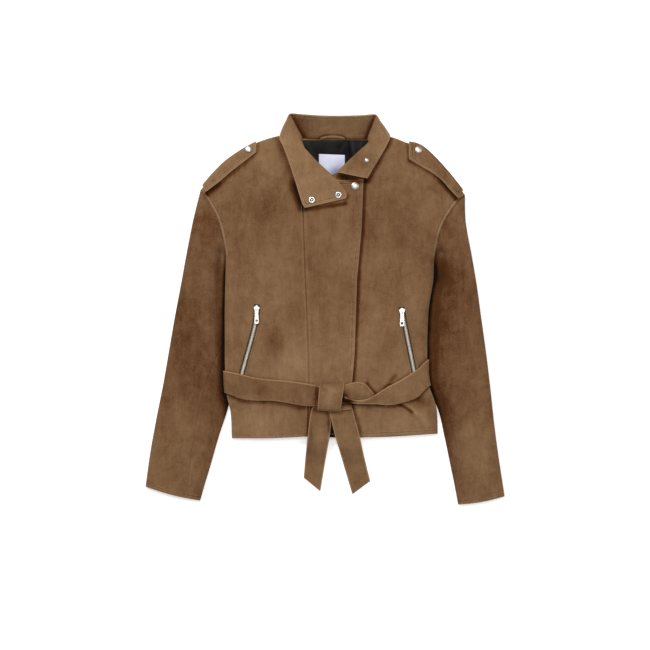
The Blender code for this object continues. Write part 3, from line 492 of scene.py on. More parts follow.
OVERLAP_DROP = 2.15  # how much lower the left front lies where the placket covers it
SEAM = 0.4  # gap left along the placket's seam
LAP = 0.7  # gap under what lies on a panel
# Height of the front's outer face along its middle: y, z.
CROWN = np.array([
    (-276, 15.0), (-235, 19.5), (-205, 20.5), (-165, 21.0), (-125, 22.0), (-60, 23.5), (60, 24.5),
    (150, 24.5), (200, 23.5), (240, 21.5), (270, 18.5), (300, 14.5), (330, 10.0),
])
# Large soft folds of the fronts: x and y of both ends, half width, height.
FOLDS = [
    (96, -150, 101, -126, 5, -1.3), (108, -146, 116, -120, 5, 1.4), (119, -144, 128, -122, 5, -1.2),
    (139, -210, 172, -228, 8, 1.6), (180, -196, 190, -214, 9, -1.6), (187, -25, 183, -100, 11, -1.5),
    (-190, -206, -150, -214, 8, 1.2), (-170, -222, -120, -250, 14, -1.0), (-185, 60, -130, -10, 22, -0.9),
    (165, 95, 120, 30, 24, -0.9), (-120, 235, -170, 175, 20, -0.8), (-62, -228, -64, -262, 9, -0.9),
    (78, -214, 84, -262, 9, -1.0),
]

# Finer creases that the large folds leave: x and y of both ends, half width, height.
CREASES = [
    (-185, 150, -120, 205, 9, -0.7), (-196, 120, -150, 150, 8, 0.7), (185, 120, 120, 175, 10, -0.7),
    (192, 96, 140, 130, 8, 0.8), (-205, -60, -150, -95, 9, 0.6), (-206, -120, -165, -128, 6, -0.7),
    (196, -70, 176, -112, 5, 1.0), (190, -40, 174, -86, 4, -0.6), (120, -205, 170, -240, 6, -0.8),
    (146, -206, 172, -227, 3.5, 0.9), (137, -207, 166, -225, 3.2, -1.0),
    (112, -177, 116, -166, 3.5, -1.0), (100, -215, 130, -262, 9, 0.6),
    (-190, -232, -150, -262, 10, -0.7), (-100, -215, -92, -262, 8, 0.6), (78, -120, 96, -154, 5, 0.7),
    (92, 60, 120, -30, 16, 0.5), (-110, 60, -90, -60, 18, 0.5), (-150, 250, -90, 200, 12, 0.6),
    (120, 215, 170, 245, 12, 0.6), (84, 190, 78, 60, 9, -0.5), (-75, -60, -70, -140, 10, -0.5),
]
# Where the suede is paler or darker: x, y, half widths across and along, change of tone. The dark
# patch at x 180, y -200 is painted shade in a fold below the belt.
FRONT_PATCHES = [
    (-108, -92, 24, 42, -0.34), (-112, -104, 62, 66, 0.22), (-150, -40, 50, 40, 0.06),
    (-180, 90, 40, 60, -0.06), (-120, 170, 60, 50, -0.10), (-60, -130, 50, 40, 0.08),
    (-140, -240, 70, 24, 0.12), (130, -60, 60, 60, -0.03), (150, -240, 60, 26, 0.10),
    (150, 150, 50, 60, 0.02), (100, 40, 40, 70, 0.03), (70, 150, 30, 50, -0.05),
    (180, -200, 16, 10, -0.20), (0, -40, 40, 120, 0.03), (0, 150, 45, 60, -0.03),
]


def rise(d, reach):
    """0 on an edge and 1 at `reach` from it: a short rounded step, then a long gentle slope."""
    near = 1 - (1 - np.clip(d / 9, 0, 1)) ** 2.5
    far = 1 - (1 - np.clip(d / reach, 0, 1)) ** 2.2
    return 0.3 * near + 0.7 * far


# Height y of the right front's inner edge beside each row of its side, and the left front's hidden edge
# as x, y.
RIGHT_INNER_Y = [330, 306, 280, 240, 190, 135, 70, -5, -75, -135, -183, -224, -272.5]
LEFT_INNER = [
    (90, 330), (58, 292.5), (25, 261), (4, 250), (-22, 244), (-24, 190), (-23, 110),
    (-21, 20), (-19, -50), (-17, -110), (-16, -170), (-17, -216), (-18, -274),
]
# Placket: its seam on the right front and its free edge, as y, x.
PLACKET_SEAM = np.array([
    (-272.5, -44.8), (-214, -43.4), (-164, -41.8), (-60, -44.2), (40, -48.6), (184, -54.0),
    (306, -57.0), (330, -72.0),
])
PLACKET_EDGE = np.array([(-276, 38.0), (-164, 44.0), (-112, 48.8), (40, 54.0), (140, 63.0), (243, 67.2)])

# Painted shadows on the fronts beside what lies on them, and painted highlights on raised folds: points of
# the line, width, change of tone.
BELT_SHADOWS_AND_HIGHLIGHTS = [
    ([(-204, -188), (-174, -203), (-116, -203), (-60, -214), (-27, -215)], 5.5, -0.42),
    ([(50, -207), (95, -210), (130, -213), (143, -208), (169, -199), (184, -188), (196, -173)], 4.5, -0.40),
    ([(-207, -141), (-150, -154), (-82, -161), (-34, -168)], 2.5, -0.16),
    ([(78, -196), (96, -187), (113, -174), (140, -160), (169, -141), (194, -118)], 4.5, -0.30),
    ([(-40, -214), (-47, -276)], 4.0, -0.50), ([(-8, -240), (-4, -276)], 5.0, -0.60),
    ([(3, -230), (4, -276)], 7.0, -1.60), ([(48, -216), (64, -276)], 3.5, -0.40),
    ([(22, -199), (42, -200)], 6.0, -1.2), ([(137, -208), (152, -215), (164, -224)], 3.8, -0.62),
    ([(147, -207), (164, -217), (172, -228)], 3.0, 0.20), ([(121, -161), (130, -152)], 4.2, -0.44),
    ([(109, -178), (118, -169)], 3.4, -0.60), ([(110, -152), (118, -124)], 4.0, 0.12),
    ([(74, -166), (92, -188)], 3.2, -0.50), ([(192, -24), (186, -96)], 8.0, -0.10),
    ([(176, -196), (190, -210)], 7.0, -0.18), ([(168, -222), (186, -232), (196, -250)], 5.0, 0.12),
    ([(176, -240), (190, -262)], 4.0, -0.10),
]
# The same beside the collar, the shoulder straps and the placket's free edge, all painted shadows, and along
# the placket's seam a darker line with painted highlights either side.
COLLAR_SHADOWS = [
    ([(-104, 322), (-88, 283), (-74, 240), (-65, 210), (-57, 186)], 9.0, -0.30),
    ([(-72, 232), (-64, 206), (-56, 184)], 7.5, -0.60),
    ([(-52, 180), (-10, 186), (30, 192)], 3.8, -0.60), ([(36, 208), (31, 194)], 4.0, -0.30),
    ([(18, 246), (40, 240), (74, 236)], 5.0, -0.60),
    ([(78, 241), (90, 263), (104, 290), (116, 310), (123, 326)], 6.0, -0.36),
    ([(28, 248), (50, 245)], 7.0, -0.50),
]
STRAP_SHADOWS = [
    ([(-150, 291), (-166, 276), (-192, 256), (-218, 234), (-247, 213)], 4.5, -0.36),
    ([(-143, 313), (-145, 294)], 2.5, -0.30), ([(-222, 230), (-246, 211)], 6.0, -0.50),
    ([(159, 278), (190, 261), (221, 240), (259, 196)], 5.0, -0.36),
    ([(222, 238), (252, 202)], 6.0, -0.50), ([(154, 312), (156, 282)], 2.5, -0.30),
]
PLACKET_EDGE_SHADOW = [([(x + 2.5, y) for y, x in PLACKET_EDGE], 3.6, -0.60)]
# A darker line on the seam, with painted highlights on the raised cloth either side.
SEAM_LINE_AND_HIGHLIGHTS = [([(x + off, y) for y, x in PLACKET_SEAM], width, change)
               for off, width, change in ((0.0, 1.4, -0.10), (-3.6, 1.8, 0.12), (3.6, 1.8, 0.12))]


def front_height(x, y):
    """Outer face of the right front and the placket: the edge's height, rising to the crown."""
    edge = edge_column(y, FRONT_EDGE) + belt_lift(x, y)
    crown = np.interp(y, CROWN[:, 0], CROWN[:, 1]) + pressed(x, y, FOLDS) + pressed(x, y, CREASES)
    return edge + (crown - edge) * rise(to_sides(x, y), 95) * rise(to_shoulders(x, y), 90)


def left_front_height(x, y):
    """Outer face of the left front: lower where the placket covers it, level with the rest farther out."""
    covered = (1 - smoothstep((x - 75) / 75)) * (1 - smoothstep((y - 255) / 45))
    return front_height(x, y) - OVERLAP_DROP * covered


def cover_height(x, y):
    """Top of whichever front is uppermost, easing down past the placket's free edge."""
    past = x - np.interp(y, PLACKET_EDGE[:, 0], PLACKET_EDGE[:, 1])
    t = smoothstep((past - 3) / 12)
    return front_height(x, y) * (1 - t) + left_front_height(x, y) * t


def surface(height, x, y, off=0.0):
    """Points of a height function moved out by `off` along its normals, upwards."""
    step = 0.5
    dx = (height(x + step, y) - height(x - step, y)) / (2 * step)
    dy = (height(x, y + step) - height(x, y - step)) / (2 * step)
    normal = unit(np.stack([-dx, -dy, np.ones_like(dx)], -1))
    return np.stack([x, y, height(x, y)], -1) + normal * np.asarray(off)[..., None]


def front_tone(x, y):
    """Tone of the fronts: deep at the shoulders, pale towards the hem, paler or darker in patches."""
    down = np.interp(y, [-275, -215, -130, -40, 60, 190, 300], [0.11, 0.06, 0.03, -0.01, -0.04, -0.05, -0.01])
    return down + blotches(x, y, FRONT_PATCHES)


def inset(face, step_in, side):
    """Points and normals of the line `step_in` millimetres in from one side of a grid, along the cloth."""
    grid = {"left": face, "right": face[:, ::-1], "top": face.transpose(1, 0, 2),
            "bottom": face[::-1].transpose(1, 0, 2)}[side]
    n = normals(grid)
    s = run_length(grid, 1)
    k = np.clip((s < step_in).sum(1) - 1, 0, grid.shape[1] - 2)
    row = np.arange(len(grid))
    f = ((step_in - s[row, k]) / np.maximum(s[row, k + 1] - s[row, k], 1e-6))[:, None]
    return grid[row, k] * (1 - f) + grid[row, k + 1] * f, n[row, k]


def read_off(at, s, columns):
    """The columns at the lengths `at`, where s holds the length at every row."""
    return np.stack([np.interp(at, s, column) for column in columns.T], -1)


# Rings of a stitch: place along its length, share of its radius, lift.
STITCH_RINGS = [(-0.5, 0.5, -0.20), (-0.22, 1.0, 0.10), (0.22, 1.0, 0.10), (0.5, 0.5, -0.20)]
STITCH_SIDES = 6


def stitches(name, runs, look, pitch=3.3, length=2.5, radius=0.34):
    """Lockstitch thread: a row of short rounded stitches along each run of points and normals.

    A stitch is a spindle of rings between two end points, which dip into the cloth.
    """
    places, tangents, ups = [], [], []
    for points, up in runs:
        s = run_length(points)
        at = np.arange(pitch, s[-1] - pitch / 2, pitch)
        places.append(read_off(at, s, points))
        tangents.append(read_off(at + 0.6, s, points) - read_off(at - 0.6, s, points))
        ups.append(read_off(at, s, up))
    place, tangent, up = (np.concatenate(part) for part in (places, tangents, ups))
    tangent = unit(tangent)
    up = unit(up - (up * tangent).sum(1, keepdims=True) * tangent)
    beside = np.cross(tangent, up)
    turn = np.arange(STITCH_SIDES) * 2 * np.pi / STITCH_SIDES
    body = [(along * length, size * radius * np.cos(t), size * radius * np.sin(t) + lift)
            for along, size, lift in STITCH_RINGS for t in turn]
    shape = np.array([(-0.6 * length, 0, -0.3)] + body + [(0.6 * length, 0, -0.3)])
    along, aside, lift = shape.T[..., None]
    points = place[:, None] + (along * tangent[:, None] + aside * beside[:, None] + lift * up[:, None])
    k = 1 + np.arange(STITCH_SIDES)
    j = np.roll(k, -1)
    starts = [STITCH_SIDES * ring for ring in range(len(STITCH_RINGS))]
    quads = np.concatenate([np.stack([a + k, a + j, b + j, b + k], -1) for a, b in zip(starts, starts[1:])])
    ends = np.concatenate([np.stack([0 * k, j, k], -1),
                           np.stack([0 * k + len(shape) - 1, starts[-1] + k, starts[-1] + j], -1)])
    first = (np.arange(len(place)) * len(shape))[:, None, None]
    faces = (quads[None] + first).reshape(-1, 4).tolist() + (ends[None] + first).reshape(-1, 3).tolist()
    return make_mesh(name, points.reshape(-1, 3), faces, look)


def thread(name, colour):
    """Matt sewing thread, a little lighter and darker along its run."""
    look = Look(name, 0.75, gloss=0.2)
    tone = (look.noise(90, 2) * 1.2 + 0.5).from_0_to_1()
    pale = tuple(1.25 * c for c in colour)
    deep = tuple(0.8 * c for c in colour)
    return look.finish(look.between(tone, (*deep, 1), (*pale, 1)))


def front_panel(name, node, height, x, y, cut, armhole, groove, beside, rows_sewn, on):
    """One front panel: its wall follows a height function, with the armhole's ridge and rolled side edge.

    `cut` names the turned edges of the grid, `armhole` its side along the armhole and side seam, and
    `groove` the side where a seam pulls the cloth down. `beside` holds the lines of painted shadow and
    highlight, and `rows_sewn` the rows of stitches: which side, how far in, and between which two y.
    """
    base = surface(height, x, y)
    to_edge = edge_distance(base, armhole)
    at_armhole = smoothstep((y - 82) / 14)
    ridge = 0.65 * (1 - smoothstep((to_edge - 6.2) / 1.8)) * smoothstep(to_edge / 1.2) * at_armhole
    roll = 1.3 * np.clip(1 - to_edge / 4.5, 0, 1) ** 2 * (1 - at_armhole)
    dip = 0.3 * hump(edge_distance(base, groove), 1.5)
    outer, inner = surface(height, x, y, ridge - dip), surface(height, x, y, -SUEDE)
    for wall in (outer, inner):
        wall[..., 2] -= roll
    # The lines in `beside` paint shadows and highlights into the tone.
    tone = front_tone(x, y) + traced(x, y, beside)
    # A painted highlight runs along the rolled side edge.
    tone += 0.24 * (1 - at_armhole) * hump(to_edge - 1.0, 2.2)
    piece = cloth(name, outer, inner, BODY_SUEDE, swell=0.3, tone=tone, rim=edge_distance(base, cut),
                  seam=np.where(at_armhole > 0.3, to_edge, FAR))
    runs = []
    for side, step_in, low, high in rows_sewn:
        points, up = inset(outer, step_in, side)
        kept = (points[:, 1] > low) & (points[:, 1] < high)
        runs.append((points[kept] + 0.05 * up[kept], up[kept]))
    sewn = stitches(name + "_thread", runs, BROWN_THREAD)
    settle(piece, [node], on=on, sewn=[sewn])


def right_inner(v):
    """The right front's inner edge, beside the placket's seam."""
    y = through(RIGHT_INNER_Y, v)[..., 0]
    x = np.interp(y, PLACKET_SEAM[:, 0], PLACKET_SEAM[:, 1])
    return np.stack([x - SEAM * (y < 306), y], -1)


BROWN_THREAD = thread("brown_thread", (0.27, 0.17, 0.10))
WHOLE = (-400, 400)  # between these y, a row of stitches runs the whole length of its side

x, y = panel(
    SIDE_RIGHT, right_inner, clustered(236, 0.2), clustered(92, 0.6, "start"),
    top=SHOULDER_RIGHT, bottom=[(-196, -276), (-120, -276), (-44.8 - SEAM, -272.5)],
)
front_panel(
    "right_front", "front_right", front_height, x, y, cut="bottom", armhole="left", groove="right",
    beside=BELT_SHADOWS_AND_HIGHLIGHTS + COLLAR_SHADOWS + STRAP_SHADOWS + SEAM_LINE_AND_HIGHLIGHTS,
    rows_sewn=[("left", 1.3, 90, 214), ("left", 6.6, 90, 208), ("bottom", 6.5, *WHOLE),
               ("right", 2.6, -262, 190)],
    on=["back_panel"],
)
x, y = panel(
    SIDE_LEFT, LEFT_INNER, clustered(240, 0.2), clustered(104, 0.6, "start"),
    top=SHOULDER_LEFT, bottom=[(215, -267), (120, -271.5), (50, -275), (-18, -274)],
)
front_panel(
    "left_front", "front_left", left_front_height, x, y, cut="bottom", armhole="left", groove="",
    beside=BELT_SHADOWS_AND_HIGHLIGHTS + COLLAR_SHADOWS + STRAP_SHADOWS + PLACKET_EDGE_SHADOW,
    rows_sewn=[("left", 1.3, 84, 206), ("left", 6.6, 84, 200), ("bottom", 6.5, *WHOLE)],
    on=["back_panel"],
)


# ---- Placket -----------------------------------------------------------------------------------------
# A wide straight overlap, sewn to the right front with a flat seam and lying over the left front. Its
# free edge, its top and its hem are turned and topstitched 6 to 7 mm in.

# The top edge, from the seam to the corner of the free edge: x, y.
PLACKET_TOP = [
    (-57, 306), (-48, 296.3), (-38.9, 284.6), (-22.5, 268), (-7.8, 254.6), (6.2, 242.5), (21, 239),
    (43, 239.4), (66.6, 240.6),
]


def straight_edge(line, first, last):
    """A side of the placket between two heights, on a line given as y, x."""

    def at(v):
        y = first + (last - first) * v
        return np.stack([np.interp(y, line[:, 0], line[:, 1]), y], -1)

    return at


x, y = panel(
    straight_edge(PLACKET_SEAM, 306, -272.5), straight_edge(PLACKET_EDGE, 240.6, -275),
    np.linspace(0, 1, 216), clustered(42, 0.3, "end"), top=PLACKET_TOP,
)
front_panel(
    "placket_panel", "placket", front_height, x, y, cut="right bottom top", armhole="", groove="left",
    beside=BELT_SHADOWS_AND_HIGHLIGHTS + COLLAR_SHADOWS + SEAM_LINE_AND_HIGHLIGHTS,
    rows_sewn=[("right", 6.5, -266, 234), ("bottom", 6.5, *WHOLE), ("left", 2.4, -262, 190),
               ("top", 6.5, 236, 400)],
    on=["left_front"],
)


# ---- Sleeves -----------------------------------------------------------------------------------------
# Two-piece sleeves of the same suede, painted darker than the body as shade, and painted darkest along the
# inner fold where the body's edge shades it. Upper and under piece meet at the outer fold and at a front
# seam, and the cuff is cut slightly curved.

# Sleeves, shoulder to cuff: x, y of the outer fold and of the inner fold, which runs in under the body.
SLEEVE_RIGHT = [
    (-259.3, 220, -209.3, 88), (-274, 160, -202, 46), (-288, 88, -196, -34), (-298, 32, -189, -102),
    (-310, -32, -193, -160), (-321, -96, -204, -216), (-333, -166, -222, -272),
    (-347.6, -240, -238, -328), (-359.4, -306, -250, -368), (-368.6, -372.8, -259.4, -400.6),
]
SLEEVE_LEFT = [
    (270.3, 210, 209.3, 80), (272, 156, 199, 38), (284, 88, 184, -42), (294, 28, 180, -106),
    (302, -32, 190, -162), (312, -104, 216, -219), (320.6, -176, 228.6, -272),
    (328.6, -250, 239, -322), (338, -320, 248.4, -368), (349, -392, 256, -408.6),
]
# Where the front seam of each sleeve lies across it, shoulder to cuff: 0 on the outer fold, 1 on the inner.
SEAM_RIGHT = [0.97, 0.96, 0.90, 0.76, 0.64, 0.61, 0.64, 0.70, 0.78]
SEAM_LEFT = [0.96, 0.96, 0.96, 0.94, 0.88, 0.83, 0.81, 0.83, 0.86]
# Height of each sleeve's crown and of its folds, shoulder to cuff.
SLEEVE_CROWN = [18.0, 18.0, 17.5, 17.0, 16.0, 15.5, 14.5, 13.5, 12.0, 11.0]
SLEEVE_FOLD = [6.0, 5.5, 5.0, 5.0, 5.0, 5.0, 5.0, 4.8, 4.6, 4.6]
CUFF_BULGE = 3.0  # how far the middle of the cuff's curve hangs past its ends
MID_ARMHOLE = 12  # the point of each line of SIDES that lies at the middle of the armhole


def side_x(wearers_right, y):
    """Where the body's edge lies at each y, from the middle of the armhole down to the hem."""
    line = SIDES[0 if wearers_right else 1][MID_ARMHOLE:]
    return np.interp(y, line[::-1, 1], line[::-1, 0])


def past_side(wearers_right, x, y):
    """How far out from the body's edge each point lies."""
    return (side_x(True, y) - x) if wearers_right else (x - side_x(False, y))


def sleeve_limit(wearers_right, x, y):
    """Highest a sleeve may reach below the armpit, where the body's side lies over it."""
    out = past_side(wearers_right, x, y)
    lift = edge_column(np.minimum(y, 86), BACK_EDGE)
    tucked = lift * (1 - smoothstep(-out / edge_column(y, LIFT_REACH)))
    flat = 10 if wearers_right else 13
    limit = np.where(out < 0, tucked, lift + 0.9 * np.maximum(out - flat, 0))
    return limit - 0.9 - 0.5 * (y > 30) + np.maximum(y - 95, 0)


def sleeve_walls(wearers_right, v, phi):
    """Outer and inner points of a sleeve at v from shoulder to cuff and phi round it.

    phi is 0 on the outer fold, goes over the top to pi on the inner fold, and back below. The section is a
    flattened loop: a crown above, the floor below, both reaching the fold's height at the folds. At the
    armhole it takes the heights of the body's walls, and a little farther down the inner fold is tucked in
    under the body. Inner points lie in by the cloth's thickness, along the section at the folds and upright
    between them.
    """
    table = np.array(SLEEVE_RIGHT if wearers_right else SLEEVE_LEFT, float)
    outer, inner = through(table[:, :2], v), through(table[:, 2:], v)
    heading = unit(inner - outer)
    side = SIDE_RIGHT if wearers_right else SIDE_LEFT
    inward = 1.0 if wearers_right else -1.0
    across = (1 - np.cos(phi)) / 2
    armhole = through(side, across * ARMPIT_ROW / (len(side) - 1))
    armhole = armhole - [0.5 * inward, 0]
    straight = table[0, :2] * (1 - across[..., None]) + table[0, 2:] * across[..., None]
    xy = outer * (1 - across[..., None]) + inner * across[..., None]
    xy = xy + ((1 - v) ** 2)[..., None] * (armhole - straight)
    tuck = (8.0 if wearers_right else 11.0) * np.sin(np.pi * np.clip(v / 0.13, 0, 1)) ** 0.7 * across**4
    xy = xy + tuck[..., None] * [inward, 0]
    off_cuff = [-0.25, -0.97] if wearers_right else [0.17, -0.98]
    xy = xy + (CUFF_BULGE * v**6 * np.sin(np.pi * across))[..., None] * off_cuff
    x, y = xy[..., 0], xy[..., 1]
    body = 1 - smoothstep(v / 0.14)
    crown = through(SLEEVE_CROWN, v)[..., 0] * (1 - body) + edge_column(armhole[..., 1], FRONT_EDGE) * body
    crown = np.minimum(crown, sleeve_limit(wearers_right, x, y))
    floor = np.minimum(edge_column(armhole[..., 1], BACK_EDGE) * body, np.maximum(crown - 4.8, 0))
    fold = np.minimum(through(SLEEVE_FOLD, v)[..., 0], (crown + floor) / 2)
    fold = np.maximum(fold, floor + SUEDE + 0.3)
    over = np.abs(np.sin(phi)) ** 0.55
    below = 1 - (1 - np.abs(np.sin(phi))) ** 3
    walls = []
    for depth in (0, SUEDE):
        top = fold + (crown - depth - fold) * over
        low = fold - (fold - floor - depth) * below
        level = xy + heading * (depth * np.cos(phi))[..., None]
        walls.append(np.concatenate([level, np.where(np.sin(phi) >= 0, top, low)[..., None]], -1))
    return walls


# Creases of the right and the left sleeve: x and y of both ends, half width, height.
RIGHT_SLEEVE_CREASES = [
    (-300, 20, -228, 60, 16, -1.0), (-306, -40, -240, -10, 12, 0.8), (-318, -90, -250, -130, 16, -0.8),
    (-330, -180, -262, -160, 18, 0.7), (-300, -270, -282, -330, 14, -0.6), (-258, 120, -226, 150, 8, -0.7),
    (-246, 176, -236, 120, 7, 0.5), (-345, -300, -316, -350, 12, 0.5), (-236, -100, -262, -60, 9, 0.7),
]
LEFT_SLEEVE_CREASES = [
    (286, 30, 226, 62, 16, -1.0), (296, -30, 236, -8, 12, 0.8), (306, -84, 246, -120, 16, -0.8),
    (314, -170, 262, -150, 18, 0.7), (300, -262, 286, -330, 14, -0.6), (256, 112, 226, 142, 8, -0.7),
    (240, 170, 228, 120, 7, 0.5), (330, -300, 306, -350, 12, 0.5), (232, -96, 254, -52, 9, 0.7),
]
# Where the sleeves are pale or dark: x, y, half widths across and along, change of tone. The pale
# patches at the two sleeve heads are painted highlights, and the dark ones at x 216, -228 and -240
# are painted shade beside the body's edge.
SLEEVE_PATCHES = [
    (-232, 205, 26, 14, 0.16), (-262, 120, 30, 60, -0.02), (-292, -40, 34, 90, -0.13),
    (-318, -300, 50, 60, 0.02), (-340, -350, 40, 30, 0.10), (-270, -250, 24, 60, -0.02),
    (242, 196, 26, 14, 0.14), (262, 100, 30, 60, 0.09), (272, -20, 30, 90, -0.03),
    (300, -300, 40, 70, 0.18), (276, -200, 30, 60, 0.06), (330, -370, 40, 30, 0.08),
    (216, 52, 14, 26, -0.20), (226, -150, 10, 40, 0.06), (-228, 60, 14, 60, -0.10),
    (-240, -120, 18, 60, -0.06),
]
# A darker copy of the body's suede: painted shade for sleeves that lie lower and slope away from the light.
SHADED_SLEEVE_SUEDE = suede("shaded_sleeve_suede", 0.23)


def make_sleeve(wearers_right, creases):
    """Upper and under piece, each a part of the sleeve's flattened loop, its rows closest at the armhole."""
    near_armhole = [0, 0.004, 0.008, 0.012, 0.018, 0.024, 0.03, 0.045, 0.06, 0.08]
    v = np.concatenate([near_armhole, np.linspace(0.1, 1, 190)])[:, None]
    front_seam = through(SEAM_RIGHT if wearers_right else SEAM_LEFT, v)[..., 0]
    turn = np.arccos(1 - 2 * np.clip(front_seam, 0, 1))
    gap = 0.08 / (120 * np.sin(turn) + 18)
    side = "right" if wearers_right else "left"
    upper = 0.005 + (turn - gap - 0.005) * clustered(62, 0.2)
    to_fold = turn + gap + (np.pi - turn - gap) * np.linspace(0, 1, 14)
    from_fold = np.pi + (np.pi - 0.005) * clustered(40, 0.35)[1:] + 0 * turn
    for part, phi in (("upper", upper), ("under", np.concatenate([to_fold, from_fold], 1))):
        outer, inner = sleeve_walls(wearers_right, v + 0 * phi, phi)
        x, y = outer[..., 0], outer[..., 1]
        between_ends = smoothstep((v - 0.02) / 0.1) * smoothstep((1.02 - v) / 0.08)
        bend = pressed(x, y, creases) * (np.clip(np.sin(phi), 0, 1) ** 0.7 * between_ends)
        outer[..., 2] += bend
        inner[..., 2] += bend
        # The first rows sink a little, in under the armhole's edge.
        outer[..., 2] = np.maximum(outer[..., 2] - 0.6 * smoothstep((0.03 - v) / 0.03), 0)
        # Painted shade in the crevice beside the body: a deep core, with a soft shade round it.
        out = past_side(wearers_right, x, y)
        if wearers_right:
            core, reach, soft, wide = 0.85, np.interp(y, [-220, -100, 76], [12, 9, 4]), 0.16, 24.0
        else:
            core, reach, soft, wide = 0.62, np.interp(y, [-220, -100, 50], [9, 6, 8]), 0.32, 36.0
        crevice = core * np.exp(-np.abs(out / reach) ** 3) + soft * hump(out, wide)
        crevice = np.where(out < 0, 0.97, crevice) * smoothstep((104 - y) / 50)
        tone = blotches(x, y, SLEEVE_PATCHES) - crevice + 0.10 * smoothstep((v - 0.45) / 0.5)
        piece = cloth(f"{side}_sleeve_{part}", outer, inner, SHADED_SLEEVE_SUEDE, swell=(0.05, 0.4, 0.05, 0.05),
                      tone=tone, rim=edge_distance(outer, "bottom"))
        sewn = []
        if part == "upper":
            sewn = [stitches(f"{side}_sleeve_thread", [inset(outer, 6.5, "bottom")], BROWN_THREAD)]
        settle(piece, [f"sleeve_{side}_{part}"],
               on=["back_panel"] if part == "upper" else [], sewn=sewn)


make_sleeve(True, RIGHT_SLEEVE_CREASES)
make_sleeve(False, LEFT_SLEEVE_CREASES)


# ---- Collar ------------------------------------------------------------------------------------------
# One doubled band of suede round the neck. It leans back behind the neck and is turned out at both ends,
# topstitched all round its cut edge, and the end on the wearer's right lies over the placket.

DOUBLED = 2.3  # thickness of two layers of trim suede
# Collar, from the front end on the wearer's right round the neck to the other: roll line x, y, z,
# cut edge x, y, z, and how far the section is a turned-over one (1) or a plain leaning one (0).
COLLAR = [
    (32, 203, 27.6, -50, 184, 27.8, 0.0), (33.5, 211, 27.8, -54.5, 191, 27.8, 0.0),
    (26, 224, 28.4, -59.5, 206, 27.5, 0.0), (11, 242.6, 29.2, -65.5, 225, 26.8, 0.35),
    (-3, 256, 29.6, -70.6, 241, 25.5, 0.75), (-17.6, 269.2, 29.4, -75.8, 257, 24.0, 1.0),
    (-34, 285.6, 28.2, -82.2, 276, 21.5, 1.0), (-43, 296, 26.0, -88, 292, 19.5, 1.0),
    (-50.2, 304, 22.5, -94, 308, 17.5, 0.9), (-54.5, 315, 15.0, -100.8, 323.5, 15.5, 0.5),
    (-57, 321.6, 9.5, -95.8, 341, 19.0, 0.15), (-57, 323.2, 6.6, -87.5, 358, 24.0, 0.0),
    (-54.5, 323.6, 5.3, -79.6, 370.6, 29.5, 0.0), (-36, 323.2, 5.1, -54, 369.3, 30.0, 0.0),
    (-10, 322.6, 5.1, -16, 367, 30.0, 0.0), (20, 322, 5.1, 26, 366.6, 30.0, 0.0),
    (50, 321.6, 5.2, 62, 367.5, 30.0, 0.0), (72.5, 321.4, 5.3, 90.4, 368.8, 29.5, 0.0),
    (75.5, 320.8, 6.6, 101.5, 355, 24.5, 0.0), (76.6, 319.4, 9.5, 111.5, 341.5, 20.0, 0.15),
    (76, 315.6, 14.0, 119.8, 326, 16.0, 0.5), (71.5, 310, 19.5, 113.5, 309.5, 17.0, 0.9),
    (60, 300, 23.5, 105.5, 295, 19.0, 1.0), (45, 286, 25.5, 96.5, 280, 21.5, 1.0),
    (29.4, 271.2, 26.5, 87, 264.5, 23.5, 1.0), (20, 262, 26.5, 80.5, 253, 24.6, 1.0),
    (13.5, 255, 26.3, 74.6, 243, 25.3, 1.0),
]
STAND_SLOPE = np.radians(125)  # slope of the stand where the collar is turned over
ROLL_RADIUS = 3.4  # of the arc that turns it over
STAND_PARTS = 4  # steps of the grid up the stand
# Where the collar is pale or dark: x, y, half widths across and along, change of tone.
COLLAR_PATCHES = [
    (-80, 330, 10, 18, 0.04), (-40, 240, 14, 30, 0.05), (-30, 205, 50, 10, 0.04), (70, 280, 40, 40, -0.20),
    (98, 330, 10, 16, 0.02), (20, 345, 50, 14, 0.06),
]
# Painted shade inside the folds behind the two turned ends, along the neck seam and round the hanger loop.
FOLD_SHADE_BEHIND_NECK = [
    ([(-79, 366), (-54, 322)], 7.0, -0.60), ([(-66, 352), (-50, 322)], 22.0, -0.26),
    ([(90, 366), (73, 322)], 5.0, -0.70), ([(82, 352), (72, 322)], 13.0, -0.16),
    ([(-54, 323), (74, 321)], 2.0, -0.30),
    ([(-22, 323), (-14, 329), (5, 331), (24, 329), (32, 323)], 1.8, -0.45),
]
TRIM_SUEDE = suede("trim_suede", 0.56)


